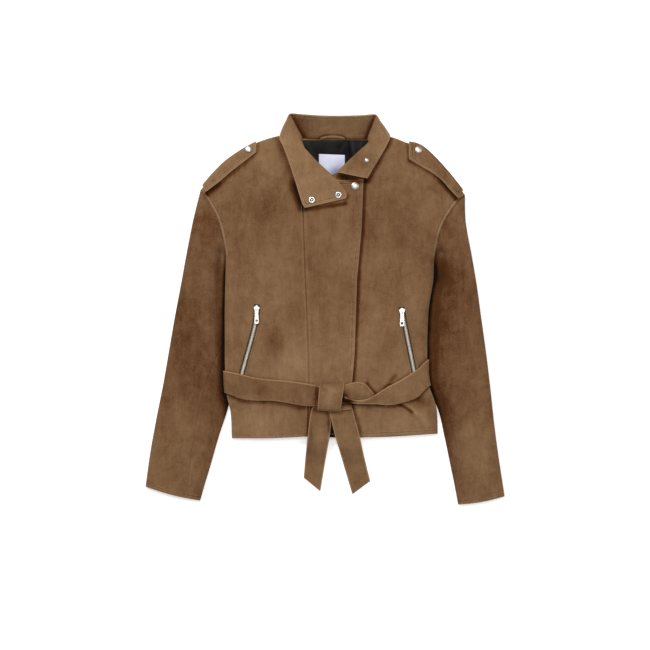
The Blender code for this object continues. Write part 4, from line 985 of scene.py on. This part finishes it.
def collar_face(stations, bends, leaf_parts):
    """Face of the collar that shows: stations along the neck, each from the seam out to the cut edge.

    A station is a stand of one slope, an arc that turns it over to the leaf's slope, and the leaf. Where
    nothing is turned over the stand and arc shrink to short steps along the leaf.
    """
    table = through(COLLAR, np.linspace(0, 1, stations))
    roll, cut, hook = table[:, :3], table[:, 3:6], table[:, 6, None]
    along = cut - roll
    reach = np.linalg.norm(along[:, :2], axis=-1, keepdims=True)
    out = along[:, :2] / reach
    leaf_slope = np.arctan2(along[:, 2, None], reach)
    stand_slope = leaf_slope + hook * (STAND_SLOPE - leaf_slope)
    seam = roll[:, :2] + out * 4
    covered = np.where(seam[:, 0] < 0, front_height(*seam.T), left_front_height(*seam.T))[:, None]
    stand = roll[:, 2, None] - covered - LAP - ROLL_RADIUS * (1 - np.cos(stand_slope))
    stand = hook * np.maximum(stand, 0) / np.maximum(np.sin(stand_slope), 0.5)
    turns = (np.arange(bends) + 0.5)[None, :] / bends
    level = np.zeros((1, STAND_PARTS))
    slopes = np.concatenate([stand_slope + level, stand_slope + (leaf_slope - stand_slope) * turns], 1)
    bent = np.maximum(ROLL_RADIUS * (stand_slope - leaf_slope) / bends + 0 * turns, 5.0 / bends)
    steps = np.concatenate([np.maximum(stand / STAND_PARTS, 0.5) + level, bent], 1)
    h = np.cumsum(np.concatenate([0 * reach, steps * np.cos(slopes)], 1), 1)
    z = np.cumsum(np.concatenate([0 * reach, steps * np.sin(slopes)], 1), 1)
    h = h - h.min(1, keepdims=True)
    z = z + roll[:, 2, None] - hook * z.max(1, keepdims=True)
    share = np.linspace(0, 1, leaf_parts + 1)[None, 1:]
    h = np.concatenate([h, h[:, -1:] + (reach - h[:, -1:]) * share], 1)
    z = np.concatenate([z, z[:, -1:] + (cut[:, 2, None] - z[:, -1:]) * share**1.2], 1)
    xy = roll[:, None, :2] + out[:, None] * h[..., None]
    return np.concatenate([xy, z[..., None]], -1)


# The face waves a little, the turned ends spring up along their outer edges, and the two back corners are
# drawn out. The painted shade of the folds shows only on the part behind the neck, and that part is a
# little darker as a whole.
face = collar_face(240, 10, 24)
x, y = face[..., 0], face[..., 1]
from_edge = edge_distance(face, "right")
face[..., 2] += 0.5 * np.sin(x / 13.0 + y / 21.0) * smoothstep(edge_distance(face, "left") / 20) * (y < 330)
at = np.linspace(0, 1, len(face))[:, None]
turned = smoothstep((0.40 - at) / 0.1) + smoothstep((at - 0.78) / 0.1)
face[..., 2] += 2.4 * hump(from_edge, 14) * turned
for corner in ((-81.0, 369.6), (91.8, 368.4)):
    pull = corner - face[..., :2]
    face[..., :2] += 0.35 * pull * hump(np.linalg.norm(pull, axis=-1, keepdims=True), 9)
behind = smoothstep((at - 0.458) / 0.006) * smoothstep((0.660 - at) / 0.006)
tone = blotches(x, y, COLLAR_PATCHES) + traced(x, y, FOLD_SHADE_BEHIND_NECK) * behind - 0.08 * behind
collar_piece = cloth("collar_band", face, face - DOUBLED * normals(face), TRIM_SUEDE, swell=0.5, tone=tone,
                     rim=edge_distance(face, "right top bottom"))
runs = []
for side in ("right", "top", "bottom"):
    points, up = inset(face, 6.5, side)
    kept = slice(12, -12) if side == "right" else slice(14, -4)
    runs.append((points[kept] + 0.05 * up[kept], up[kept]))
collar_thread = stitches("collar_thread", runs, BROWN_THREAD)
settle(collar_piece, ["collar"],
       on=["right_front", "left_front", "placket_panel"], sewn=[collar_thread])


# ---- Shoulder straps ---------------------------------------------------------------------------------
# A doubled suede strap on each shoulder, folded over the shoulder edge, topstitched along its edges and
# held by a snap at the neck end.

UNDER_LAP = 1.1  # gap between the back and what passes below it
# Epaulettes, inner end to shoulder tip: x, y on the shoulder fold and x, y of the edge over the front.
EPAULETTE_RIGHT = [
    (-148.5, 312.6, -148.2, 294.4), (-180, 294, -168, 279), (-208, 274, -194, 259),
    (-232, 250, -220, 237), (-253, 226, -248, 216),
]
EPAULETTE_LEFT = [
    (158.5, 312.4, 158, 281), (174, 309, 170, 273.5), (190, 300, 185, 264.5), (210, 281, 202, 255),
    (230, 259, 222, 240), (248, 237, 239, 221), (263.5, 217, 255.5, 203.5),
]


def under_back(x, y, off):
    """Points below the back's outer face, moved down along its normals."""
    flipped = surface(lambda a, b: -back_height(a, b), x, y, off)
    return flipped * [1, 1, -1]


def round_edge(edge, inward, over, rim, below, off, lean=0.0):
    """Columns of points round a folded edge, `off` from the cloth: over the front, rim, below the back.

    `edge` holds x, y of the fold and `inward` the unit direction into the body. `over` and `below` hold how
    far in the columns lie, `rim` how many columns stand on the edge, bowed out like a half circle, and
    `lean` how far the ones over the front shift sideways for each step in.
    """
    columns = [surface(cover_height, *np.moveaxis(edge + (inward + lean) * d, -1, 0), off) for d in over]
    low, high = edge_column(edge[..., 1], BACK_EDGE), edge_column(edge[..., 1], FRONT_EDGE)
    lift = belt_lift(edge[..., 0], edge[..., 1])
    for k in range(rim):
        t = k / (rim - 1)
        z = lift + (high - 0.3) * (1 - t) + (low + 0.3) * t
        out = off + 0.3 + 0.8 * np.sin(np.pi * t)
        columns.append(np.concatenate([edge - inward * out, z[..., None]], -1))
    for d in below:
        at = edge + inward * d
        columns.append(under_back(at[..., 0], at[..., 1], off + UNDER_LAP - LAP))
    return columns


def strap(side, table):
    """A strap over the shoulder edge: most of it on the front, the rest turned under."""
    rows = through(table, np.linspace(0, 1, 80))
    edge, lower = rows[:, :2], rows[:, 2:]
    width = np.linalg.norm(lower - edge, axis=-1, keepdims=True)
    inward = (lower - edge) / width
    near = np.minimum(0.3 * width, 7)
    over = [near + (width - near) * t for t in np.linspace(1, 0, 13)]
    beside_fold = len(over)  # the first column close to the shoulder's fold
    over += [near * t for t in (0.75, 0.5, 0.3, 0.15)]
    faces = [np.stack(round_edge(edge, inward, over, 6, [1.0, 3.0, 6.0, 10.0], off), 1)
             for off in (2 * LAP + DOUBLED, 2 * LAP)]
    face = faces[0]
    x, y = face[..., 0], face[..., 1]
    tone = -0.08 - 0.16 * (x > 0) + blotches(x, y, [(-235, 240, 22, 22, 0.05), (230, 244, 22, 22, 0.06)])
    piece = cloth(f"{side}_shoulder_strap", *faces, TRIM_SUEDE, swell=0.5, tone=tone,
                  rim=edge_distance(face, "left top bottom"))
    points, up = inset(face, 5.5, "left")
    across, across_up = inset(face, 5.5, "top")
    fold_up = normals(face)[:, beside_fold]
    fold = face[:, beside_fold] + 0.05 * fold_up
    runs = [(points[5:-3], up[5:-3]), (across[4:15], across_up[4:15]), (fold[5:-3], fold_up[5:-3])]
    sewn = stitches(f"{side}_strap_thread", runs, BROWN_THREAD)
    settle(piece, [f"epaulette_{side}"],
           on=[f"{side}_front", "back_panel"], sewn=[sewn])
    return piece


right_strap = strap("right", EPAULETTE_RIGHT)
left_strap = strap("left", EPAULETTE_LEFT)


# ---- Belt --------------------------------------------------------------------------------------------
# One strap of doubled suede 45 mm wide, its edges glued and cut clean without topstitching. It passes
# round the body under the back and is tied in front: a wrap over a rolled turn, and two slanted tails.

BELT = 2.4  # thickness of the doubled strap
BELT_SUEDE = suede("belt_suede", 0.39, topstitched=False)
# Belt over the front, side to knot: x, y of its upper edge and of its lower edge.
BELT_RIGHT = [
    (-207, -142, -203, -185.5), (-180, -148, -180, -196), (-150.6, -155.2, -150, -200.5),
    (-116, -159.5, -116, -201), (-82, -162, -86, -205), (-34.6, -169.2, -50, -211), (-10, -175, -12, -212),
]
BELT_LEFT = [
    (195, -119.4, 197, -170.4), (184.4, -131.4, 184.4, -185.6), (169.2, -142.2, 169.2, -196.4),
    (140, -160.8, 143.2, -205.2), (113.4, -174.8, 118, -209.6), (94.8, -186.8, 95, -208),
    (77, -196.6, 77, -207.5), (58, -200.4, 58, -207.2), (40, -197.6, 40, -205), (29, -193, 29, -201),
]
# Extra height of the left part of the belt as it climbs to the knot.
BELT_CLIMB = [0, 0, 0, 0.4, 2.0, 3.6, 5.0, 5.6, 5.2, 4.6]
BELT_CREASES = [
    (-100, -172, -30, -186, 3.5, 0.8), (-90, -196, -30, -200, 3.5, -0.7), (-150, -170, -110, -184, 6, 0.4),
    (96, -196, 60, -205, 3, 0.8), (150, -170, 120, -186, 6, 0.6), (176, -150, 160, -176, 7, -0.6),
    (192, -132, 180, -168, 6, 0.5), (-190, -150, -176, -190, 7, 0.5), (-60, -176, -28, -178, 3, -0.7),
]


def belt_band(table, at, across):
    """x, y of a belt band's stations and the points across it, 0 on the upper edge."""
    row = through(table, at)
    return row[..., :2] * (1 - across[..., None]) + row[..., 2:] * across[..., None]


ZIP_X = (-177, 168.5)  # where each zip's chain runs in under the belt


def zip_bump(x, across):
    """How far the belt rises where a zip's chain runs in under its upper edge."""
    nearest = np.minimum(np.abs(x - ZIP_X[0]), np.abs(x - ZIP_X[1]))
    return 2.6 * (1 - smoothstep((nearest - 9) / 14)) * (1 - smoothstep((across - 0.35) / 0.6))


ROUND_SIDE = [9.0, 6.5, 4.0, 2.5, 1.0]  # how far in the last rows over the front lie
BELOW_SIDE = [1.0, 3.0, 6.0, 14.0, 26.0]  # how far in the first rows below the back lie
SPAN_START = 40  # how far in the straight run below the back begins
across = np.linspace(0, 1, 17)[None, :]
# For each side of the belt: x, y of its grid from the knot out, how far it climbs, x, y of the body's edge
# beside its outer end, and the direction into the body.
ends = {}
for wearers_right, table in ((True, BELT_RIGHT), (False, BELT_LEFT)):
    first = belt_band(table, np.zeros((1, 1)), across)[0]
    edge = np.stack([side_x(wearers_right, first[:, 1]), first[:, 1]], -1)
    at = (np.linspace(1, 0.1, 96) if wearers_right else np.linspace(1, 0.17, 120))[:, None]
    xy = belt_band(table, at + 0 * across, 0 * at + across)
    climb = through(BELT_CLIMB, at)[..., 0] if not wearers_right else 0 * at
    ends[wearers_right] = (xy, climb, edge, np.array([1.0 if wearers_right else -1.0, 0.0]))
faces = []
for off in (LAP + BELT, LAP):
    rows = []
    for wearers_right in (True, False):
        xy, climb, edge, inward = ends[wearers_right]
        top = surface(cover_height, xy[..., 0], xy[..., 1], off)
        top[..., 2] += climb + zip_bump(xy[..., 0], across) + pressed(xy[..., 0], xy[..., 1], BELT_CREASES)
        lean = (xy[-1] - edge) * [0, 1] / np.abs(xy[-1] - edge)[:, :1]
        turn = round_edge(edge, inward, ROUND_SIDE, 6, BELOW_SIDE, off, lean)
        rows.append(np.concatenate([top, np.stack(turn, 0)]))
    right_in, left_in = (edge + inward * SPAN_START for _, _, edge, inward in (ends[True], ends[False]))
    share = np.linspace(0, 1, 36)[:, None, None]
    middle = right_in[None] * (1 - share) + left_in[None] * share
    rows.insert(1, under_back(middle[..., 0], middle[..., 1], off + UNDER_LAP - LAP))
    rows[2] = rows[2][::-1]
    faces.append(np.concatenate(rows))
# Where the belt is pale or dark: x, y, half widths across and along, change of tone. The dark patches
# at x -26, 33 and 92 are painted shade beside and under the knot.
BELT_PATCHES = [
    (-150, -175, 40, 20, -0.06), (-60, -190, 30, 14, 0.02), (120, -186, 30, 14, 0.08),
    (180, -150, 20, 20, 0.06), (-26, -188, 5, 26, -0.45), (33, -203, 12, 6, -1.80),
    (92, -196, 16, 4, -0.10), (-190, -168, 12, 20, -0.06),
]
belt_piece = cloth("belt_loop", *faces, BELT_SUEDE, swell=0.6, rim=edge_distance(faces[0], "left right"),
                   tone=blotches(faces[0][..., 0], faces[0][..., 1], BELT_PATCHES))
settle(belt_piece, ["belt"],
       on=["right_front", "left_front", "placket_panel"])


def strap_piece(name, node, left, right, height, thickness, nap, cut, on, rows=80, columns=22):
    """A strap between two edge lines of x, y, its outer face at height(x, y, along, across).

    `nap` is a table of lines of painted shadow and highlight on it, and `cut` names its cut edges.
    """
    at = np.linspace(0, 1, rows)[:, None]
    u = clustered(columns, 0.5)[None, :]
    xy = through(left, at + 0 * u) * (1 - u[..., None]) + through(right, at + 0 * u) * u[..., None]
    z = height(xy[..., 0], xy[..., 1], at + 0 * u, u + 0 * at)
    face = np.concatenate([xy, z[..., None]], -1)
    piece = cloth(name, face, face - thickness * normals(face), BELT_SUEDE, swell=0.6,
                  rim=edge_distance(face, cut), tone=traced(face[..., 0], face[..., 1], nap))
    settle(piece, [node], on=on)


def tail_height(x, y, along, across):
    """A tail lies on the front down to the hem and falls past it to the floor."""
    hem = front_height(x, np.full_like(y, -272.0)) + LAP + BELT
    falling = BELT + 0.3 + (hem - BELT - 0.3) * (1 - smoothstep((-276 - y) / 62))
    lying = cover_height(x, np.maximum(y, -272)) + LAP + BELT + 0.3
    return np.where(y > -272, lying, falling + 0.3 * (y > -300))


def wrap_height(x, y, along, across):
    """The wrap arches over the knot and is pulled down along both edges, with two pinched creases."""
    arch = through([25.5, 30.5, 34.5, 36.6, 37.4, 37.4, 36.4, 33.5, 28.6], along)[..., 0]
    upper = 0.7 * hump(across - 0.28 - 0.2 * along, 0.07) * smoothstep((0.75 - along) / 0.5)
    lower = 0.6 * hump(across - 0.72 + 0.15 * along, 0.08) * smoothstep((along - 0.35) / 0.5)
    return arch - 2.2 * (2 * across - 1) ** 4 - (upper + lower)


def twist_height(x, y, along, across):
    """The turn beside the knot is rolled: high along its middle, low at both edges."""
    swell = through([8.8, 8.4, 7.4, 6.4, 4.6, 3.2, 2.4], along)[..., 0]
    rolled = cover_height(x, y) + LAP + BELT - 1.2 + swell * np.sin(np.pi * (0.14 + 0.78 * across))
    return rolled + 0.7 * np.sin(7.0 * across + 3.5 * along) * smoothstep((0.95 - along) / 0.3)


# The nap lines of the knot and tails are painted shadows under overlapping parts and painted highlights on
# raised ones.
strap_piece(
    "knot_wrap", "belt_knot",
    [(-19.5, -167.5), (-20.6, -170.5), (-21.4, -176), (-22.2, -184), (-23, -193), (-23.6, -202),
     (-24.2, -210), (-24.6, -216.5), (-24.6, -221)],
    [(27, -165.5), (28.4, -168.5), (27.8, -174), (26.6, -183), (25, -193), (23.6, -202),
     (22.4, -211), (21.4, -219), (20.8, -223.5)],
    wrap_height, BELT, cut="left right", on=["belt_loop"],
    rows=60, columns=30,
    nap=[([(5, -178), (0, -205)], 14, 0.08), ([(-18, -170), (-8, -182)], 3, -0.12),
         ([(18, -196), (22, -214)], 3, -0.10)],
)
strap_piece(
    "knot_inner_layer", "belt_knot_inner",
    [(12, -207.5), (26, -207.5), (43, -207.5)], [(10, -219.5), (24, -219.5), (41.5, -218.5)],
    lambda x, y, along, across: 27.0 - 1.4 * along, 1.8,
    cut="right", on=["belt_loop"], rows=20, columns=10,
    nap=[([(10, -213), (44, -213)], 20, -0.10), ([(14, -207), (44, -207)], 4.0, -0.8)],
)
strap_piece(
    "knot_twist", "belt_twist",
    [(23.5, -173.5), (32, -169), (45, -165), (58, -163.8), (70, -168), (80, -178), (88, -188)],
    [(23.5, -191), (32, -195), (45, -200.5), (58, -202.5), (68, -201.5), (76, -199.5), (82, -198)],
    twist_height, 2.0, cut="left right", on=["belt_loop"],
    nap=[([(36, -172), (66, -174)], 5, 0.10), ([(28, -186), (60, -192)], 5, -0.12),
         ([(24, -172), (24, -192)], 6, -0.30), ([(23, -189), (34, -192)], 4.0, -0.30)],
)
strap_piece(
    "right_tail", "belt_tail_right",
    [(-33, -213.8), (-37, -220), (-40.5, -240), (-43, -260), (-46, -290), (-49.5, -325), (-52, -355)],
    [(-4, -213.8), (-3, -222), (1.4, -243), (0.2, -264), (-5.5, -296), (-13, -340), (-19.8, -381.4)],
    tail_height, BELT, cut="left right bottom",
    on=["placket_panel"], rows=100,
    nap=[([(-36, -217), (-2, -224)], 8, -0.30), ([(-1, -226), (-1, -262)], 4.5, -0.40),
         ([(-24, -250), (-30, -340)], 12, 0.04)],
)
strap_piece(
    "left_tail", "belt_tail_left",
    [(4, -207), (-0.8, -222.8), (4.4, -246), (11, -273), (20, -303), (32, -344), (45, -387.4)],
    [(39, -208.5), (44, -216.4), (51.5, -243), (59.8, -276.4), (65.4, -304), (72.5, -333), (79.8, -361.8)],
    tail_height, BELT, cut="left right bottom",
    on=["placket_panel", "left_front"], rows=100,
    nap=[([(2, -222), (44, -218)], 6, -0.26), ([(34, -250), (56, -340)], 12, 0.04)],
)


# ---- Pocket zips -------------------------------------------------------------------------------------
# A metal zip in each front: dark woven tape, cast teeth that mesh, a slider and a pull tab. The suede is
# turned back along both sides of the opening and sewn.

# Each zip's chain: x, y of its top end, of a point on the way and of its lower end under the belt.
ZIP_RIGHT = [(-145.5, -9), (-149.6, -50), (-178.5, -156)]
ZIP_LEFT = [(142.5, -14), (149.6, -51), (169.6, -150)]
TOOTH_PITCH = 0.95
TOOTH_HALF = 0.46  # half its thickness along the chain
TOOTH_ROOT, TOOTH_TIP = -0.9, 3.0  # how far it reaches across the chain's middle line
# Levels of a tooth: height over the front, share of its thickness.
TOOTH_LEVELS = [(0.5, 1.0), (1.45, 1.0), (1.75, 0.85)]


def metal(name, colour, roughness, spots=0.5):
    """Polished metal, dull and darker in spots, and darkened in painted shade where the tone attribute is
    low.
    """
    look = Look(name, roughness, metallic=1.0)
    dull = look.noise(260, 4, 0.6)
    shine = (0.8 + look.attribute("tone") + spots * dull).from_0_to_1()
    # The dark colour serves both tarnished spots and the painted shade of the tone attribute.
    tarnish_and_shade = tuple(0.12 * c for c in colour)
    shade = look.between(shine, (*tarnish_and_shade, 1), (*colour, 1))
    return look.finish(shade, roughness=0.2 * dull + roughness)


STEEL = metal("bright_steel", (0.88, 0.87, 0.84), 0.30)
TOOTH_METAL = metal("zip_tooth_metal", (0.78, 0.72, 0.62), 0.60, 0.1)


def woven_tape(name):
    """Dark brown woven tape, its threads lying across it."""
    look = Look(name, 0.85, gloss=0.2)
    weave = look.noise(1100, 2, stretch=(1, 0.3, 1))
    shade = look.between(weave + 0.5, (0.018, 0.014, 0.011, 1), (0.050, 0.040, 0.032, 1))
    return look.finish(shade, 0.25 * weave)


ZIP_TAPE = woven_tape("zip_tape")


def zip_pieces(side, height, chain):
    """Tape, meshed teeth and turned-back suede edges along the chain, and metal for the slider and tab."""
    line = through(chain, np.linspace(0, 1, 60))
    heading = unit(np.gradient(line, axis=0))
    square = np.stack([heading[:, 1], -heading[:, 0]], -1)

    def ribbon(q, lift):
        """Points at the distances q beside the chain, `lift` off the front."""
        xy = line[:, None] + square[:, None] * q[None, :, None]
        return surface(height, xy[..., 0], xy[..., 1], lift + 0 * xy[..., 0])

    q = np.linspace(-6.5, 6.5, 9)
    under = [f"{side}_front"]
    made = cloth(f"{side}_zip_tape", ribbon(q, 0.7), ribbon(q, 0.2), ZIP_TAPE, swell=0.1)
    settle(made, [f"zip_{side}_chain"], on=under)
    for sign, word in ((-1, "outer"), (1, "inner")):
        q = sign * np.linspace(4.6, 9.6, 8)
        t = np.linspace(0, 1, 8)
        bulge = 0.15 + 1.35 * np.sin(np.pi * np.clip(0.06 + 0.9 * t, 0, 1)) ** 0.7
        face = ribbon(q, bulge)
        # Each lip is painted in shade next to the chain, where it turns down into the opening.
        lip = cloth(f"{side}_zip_{word}_lip", face, ribbon(q, 0.1), BODY_SUEDE, swell=0.1,
                    tone=front_tone(face[..., 0], face[..., 1]) - 0.5 * (1 - t) ** 3 + 0.06 * t)
        settle(lip, [], on=under)
    s = run_length(line)
    at = np.arange(8.0, s[-1] - 2, TOOTH_PITCH)
    place, ahead = read_off(at, s, line), read_off(at, s, heading)
    sign = np.where(np.arange(len(at)) % 2, 1.0, -1.0)[:, None]
    beside = sign * np.stack([ahead[:, 1], -ahead[:, 0]], -1)
    block = []
    for lift, share in TOOTH_LEVELS:
        half, tip = TOOTH_HALF * share, TOOTH_TIP * share**0.5
        block += [(-half, TOOTH_ROOT, lift), (half, TOOTH_ROOT, lift), (half, tip, lift), (-half, tip, lift)]
    along, over, lift = np.array(block).T[..., None]
    xy = place[:, None] + along * ahead[:, None] + over * beside[:, None]
    z = height(xy[..., 0], xy[..., 1]) + lift[:, 0]
    faces = [(a + k, (a + 1) % 4 + k, (a + 1) % 4 + k + 4, a + k + 4) for k in (0, 4) for a in range(4)]
    faces = np.array(faces + [(3, 2, 1, 0), (8, 9, 10, 11)])
    flipped = np.where(sign[:, :, None] > 0, faces[None, :, ::-1], faces[None])
    faces = (flipped + (np.arange(len(at)) * len(block))[:, None, None]).reshape(-1, 4)
    points = np.concatenate([xy, z[..., None]], -1).reshape(-1, 3)
    teeth = make_mesh(f"{side}_zip_teeth", points, faces.tolist(), TOOTH_METAL)
    teeth.data.shade_flat()
    settle(teeth, [])
    for part in ("slider", "tab"):
        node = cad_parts[f"zip_{side}_{part}"]
        node.data.materials.clear()
        node.data.materials.append(STEEL)


zip_pieces("right", front_height, ZIP_RIGHT)
zip_pieces("left", left_front_height, ZIP_LEFT)


# ---- Lining, label and hanger loop -------------------------------------------------------------------
# Black satin lines the back and shows in the neck opening with loose folds. A plain white woven label is
# sewn to it, and a narrow suede loop for hanging is caught in the neck seam.

SATIN = 0.8  # thickness


def satin_weave(name):
    """Black satin with fine threads across it, and its sheen painted into the colour in clouds."""
    look = Look(name, 0.45, gloss=0.06)
    threads = look.noise(1400, 2, stretch=(1, 0.1, 1))
    sheen = look.noise(30, 3, 0.5)
    tone = (0.4 + 2.4 * sheen + 0.5 * threads + look.attribute("tone")).from_0_to_1()
    shade = look.between(tone, (0.002, 0.0015, 0.0015, 1), (0.016, 0.013, 0.013, 1))
    return look.finish(shade, 0.05 * threads + 0.25 * sheen)


def label_weave(name):
    """White woven label with a fine warp, a little cloudy."""
    look = Look(name, 0.8, gloss=0.2)
    warp = look.noise(1300, 2, stretch=(1, 0.25, 1))
    cloudy = look.noise(40, 2)
    tone = (0.7 + look.attribute("tone") + 0.5 * warp + 0.5 * cloudy).from_0_to_1()
    return look.finish(look.between(tone, (0.25, 0.27, 0.40, 1), (0.78, 0.79, 0.90, 1)), 0.12 * warp)


# Loose folds of the lining: x where y is FOLD_Y, lean, width, height.
FOLD_Y = 300
SATIN_FOLDS = [
    (44, 0, 7, 1.6), (62, 0, 6, 1.2), (-42, 0, 7, 1.2), (52, -0.35, 3.2, 0.9), (-52, 0.3, 3.5, 0.8),
    (70, -0.2, 3.0, 0.6), (34, 0, 3, -0.5),
]


def satin_height(x, y):
    """The lining lies on the back and rises in loose folds that fade towards the neck seam."""
    folds = sum(height * hump(x - at - lean * (y - FOLD_Y), width) for at, lean, width, height in SATIN_FOLDS)
    return back_height(x, y) + SUEDE + 1.3 + SATIN + smoothstep((322 - y) / 25) * folds


x, y = panel(
    [(-64, 319), (-62, 270), (-58, 215)], [(84, 319), (82, 270), (78, 215)],
    np.linspace(0, 1, 60), np.linspace(0, 1, 110),
)
face = np.stack([x, y, satin_height(x, y)], -1)
# Where the folds of the lining catch the light or lose it: points of the line, width, change of tone.
SATIN_SHEEN = [
    ([(44, 315), (50, 280)], 3.0, 0.9), ([(62, 315), (58, 288)], 2.4, 0.7),
    ([(-44, 312), (-34, 290)], 3.0, 0.6), ([(38, 316), (42, 286)], 3.0, -0.5),
    ([(-28, 318), (34, 316)], 3.0, 0.25), ([(30, 312), (22, 298)], 3.0, 0.5),
]
satin = cloth("satin_lining", face, face - [0, 0, SATIN], satin_weave("lining_satin"), swell=0.2,
              tone=traced(x, y, SATIN_SHEEN))
settle(satin, ["lining"], on=["back_panel"])

# Painted shade on the label, deepest low in its middle: x, y, half widths across and along, change of tone.
LABEL_SHADE = [(12, 254, 15, 14, -0.75), (24, 276, 10, 8, -0.10)]
x, y = panel(
    [(-22, 291.6), (-21.4, 232)], [(29.4, 289.6), (30, 231)], np.linspace(0, 1, 40), np.linspace(0, 1, 36),
)
to_edge = edge_distance(np.stack([x, y, 0 * x], -1), "left right top")
puff = 0.35 * np.sin(x / 9.0 + 0.6) * smoothstep(to_edge / 6)
face = np.stack([x, y, satin_height(x, y) + 1.0 + puff], -1)
label = cloth("neck_label", face, face - [0, 0, 0.6], label_weave("label_weave"), swell=0.2,
              tone=blotches(x, y, LABEL_SHADE))
runs = [[part[1:-1] for part in inset(face, 2.0, side)] for side in ("left", "right", "top")]
label_thread = stitches("label_thread", runs, thread("white_thread", (0.66, 0.67, 0.74)),
                        pitch=2.4, length=1.8, radius=0.2)
settle(label, ["label"], on=["satin_lining"],
       sewn=[label_thread])

# The loop lies in a low arch off the neck seam, sloping up, its face rounded across.
t = np.linspace(0, 1, 60)[:, None]
across = np.linspace(-1, 1, 9)[None, :]
x = -19.6 + 49 * t + 0 * across
y = 321.6 + 4.2 * np.sin(np.pi * t) ** 0.6 + 1.8 * across
face = np.stack([x, y, 7.4 + 0.62 * (y - 321.6) + 0.5 * np.cos(1.4 * across)], -1)
loop = cloth("hanger_loop_strap", face, face - [0, 0, 1.4], TRIM_SUEDE, swell=0.4, tone=0.06)
settle(loop, ["hanger_loop"])


# ---- Snaps -------------------------------------------------------------------------------------------
# Pressed metal snaps: two open ring sockets on the turned collar, one stud on the other collar end, and
# domed caps on the placket and on both shoulder straps.

RING_POINTS = 40
# Half sections, from the middle out and under: share of the radius, height, change of tone. The tone is
# painted shade down the sides, at the rims, in the ring's hollow and underneath.
CAP = [
    (0.0, 2.3, 0.0), (0.2, 2.27, 0.0), (0.45, 2.12, -0.06), (0.66, 1.8, -0.16), (0.78, 1.5, -0.30),
    (0.84, 1.15, -0.5), (0.88, 1.1, -0.4), (0.95, 0.95, -0.2), (1.0, 0.5, -0.5), (1.0, 0.0, -0.8),
    (0.0, -0.1, -0.8),
]
RING = [
    (0.0, 0.9, 0.0), (0.12, 0.95, 0.0), (0.2, 0.8, -0.5), (0.26, 0.35, -0.85), (0.42, 0.3, -0.85),
    (0.48, 0.7, -0.6), (0.52, 1.5, -0.1), (0.6, 1.85, 0.1), (0.72, 1.9, 0.1), (0.84, 1.6, 0.0),
    (0.93, 1.2, -0.3), (0.99, 0.6, -0.6), (1.0, 0.0, -0.8), (0.0, -0.1, -0.8),
]


def snap(name, node, carrier, x, y, radius, profile, look):
    """A turned snap seated square on the piece below it; its profile starts and ends on the middle."""
    mesh = carrier.data
    tree = BVHTree.FromPolygons([v.co / MM for v in mesh.vertices], [p.vertices for p in mesh.polygons])
    place, normal, _, _ = tree.ray_cast(Vector((x, y, 100)), Vector((0, 0, -1)))
    up = np.array(normal)
    aside = unit(np.cross(up, [0.0, 1.0, 0.0]))
    ahead = np.cross(up, aside)
    turn = np.arange(RING_POINTS)[:, None] * 2 * np.pi / RING_POINTS
    circle = np.cos(turn) * aside + np.sin(turn) * ahead
    body = np.array(profile[1:-1])
    rings = circle[None] * (radius * body[:, 0])[:, None, None] + up * body[:, 1, None, None]
    points = np.concatenate([[up * profile[0][1]], rings.reshape(-1, 3), [up * profile[-1][1]]])
    k = 1 + np.arange(RING_POINTS)
    j = np.roll(k, -1)
    faces = np.stack([0 * k, k, j], -1).tolist()
    for near in range(0, RING_POINTS * (len(body) - 1), RING_POINTS):
        far = near + RING_POINTS
        faces += np.stack([near + k, far + k, far + j, near + j], -1).tolist()
    faces += np.stack([far + k, 0 * k + len(points) - 1, far + j], -1).tolist()
    a, b, c = (points[[f[i] for f in faces]] for i in range(3))
    if (a * np.cross(b, c)).sum() < 0:
        faces = [f[::-1] for f in faces]
    made = make_mesh(name, points + np.array(place) + 0.3 * up, faces, look)
    tones = np.repeat([row[2] for row in profile], [1] + [RING_POINTS] * len(body) + [1])
    made.data.attributes.new("tone", "FLOAT", "POINT").data.foreach_set("value", tones.astype(np.float32))
    settle(made, [node])


DULL_STEEL = metal("dull_steel", (0.64, 0.60, 0.54), 0.38)
snap("collar_outer_socket", "snap_collar_outer", collar_piece, -36.4, 199.5, 6.9, RING, STEEL)
snap("collar_inner_socket", "snap_collar_inner", collar_piece, 16.6, 209.5, 6.9, RING, STEEL)
snap("collar_stud", "snap_collar_stud", collar_piece, 73.2, 278.4, 5.0, CAP, DULL_STEEL)
snap("placket_cap", "snap_placket", bpy.data.objects["placket_panel"], 49.8, 227, 8.0, CAP, DULL_STEEL)
snap("right_strap_cap", "snap_epaulette_right", right_strap, -163.5, 301.5, 7.5, CAP, DULL_STEEL)
snap("left_strap_cap", "snap_epaulette_left", left_strap, 177, 299.5, 7.5, CAP, DULL_STEEL)
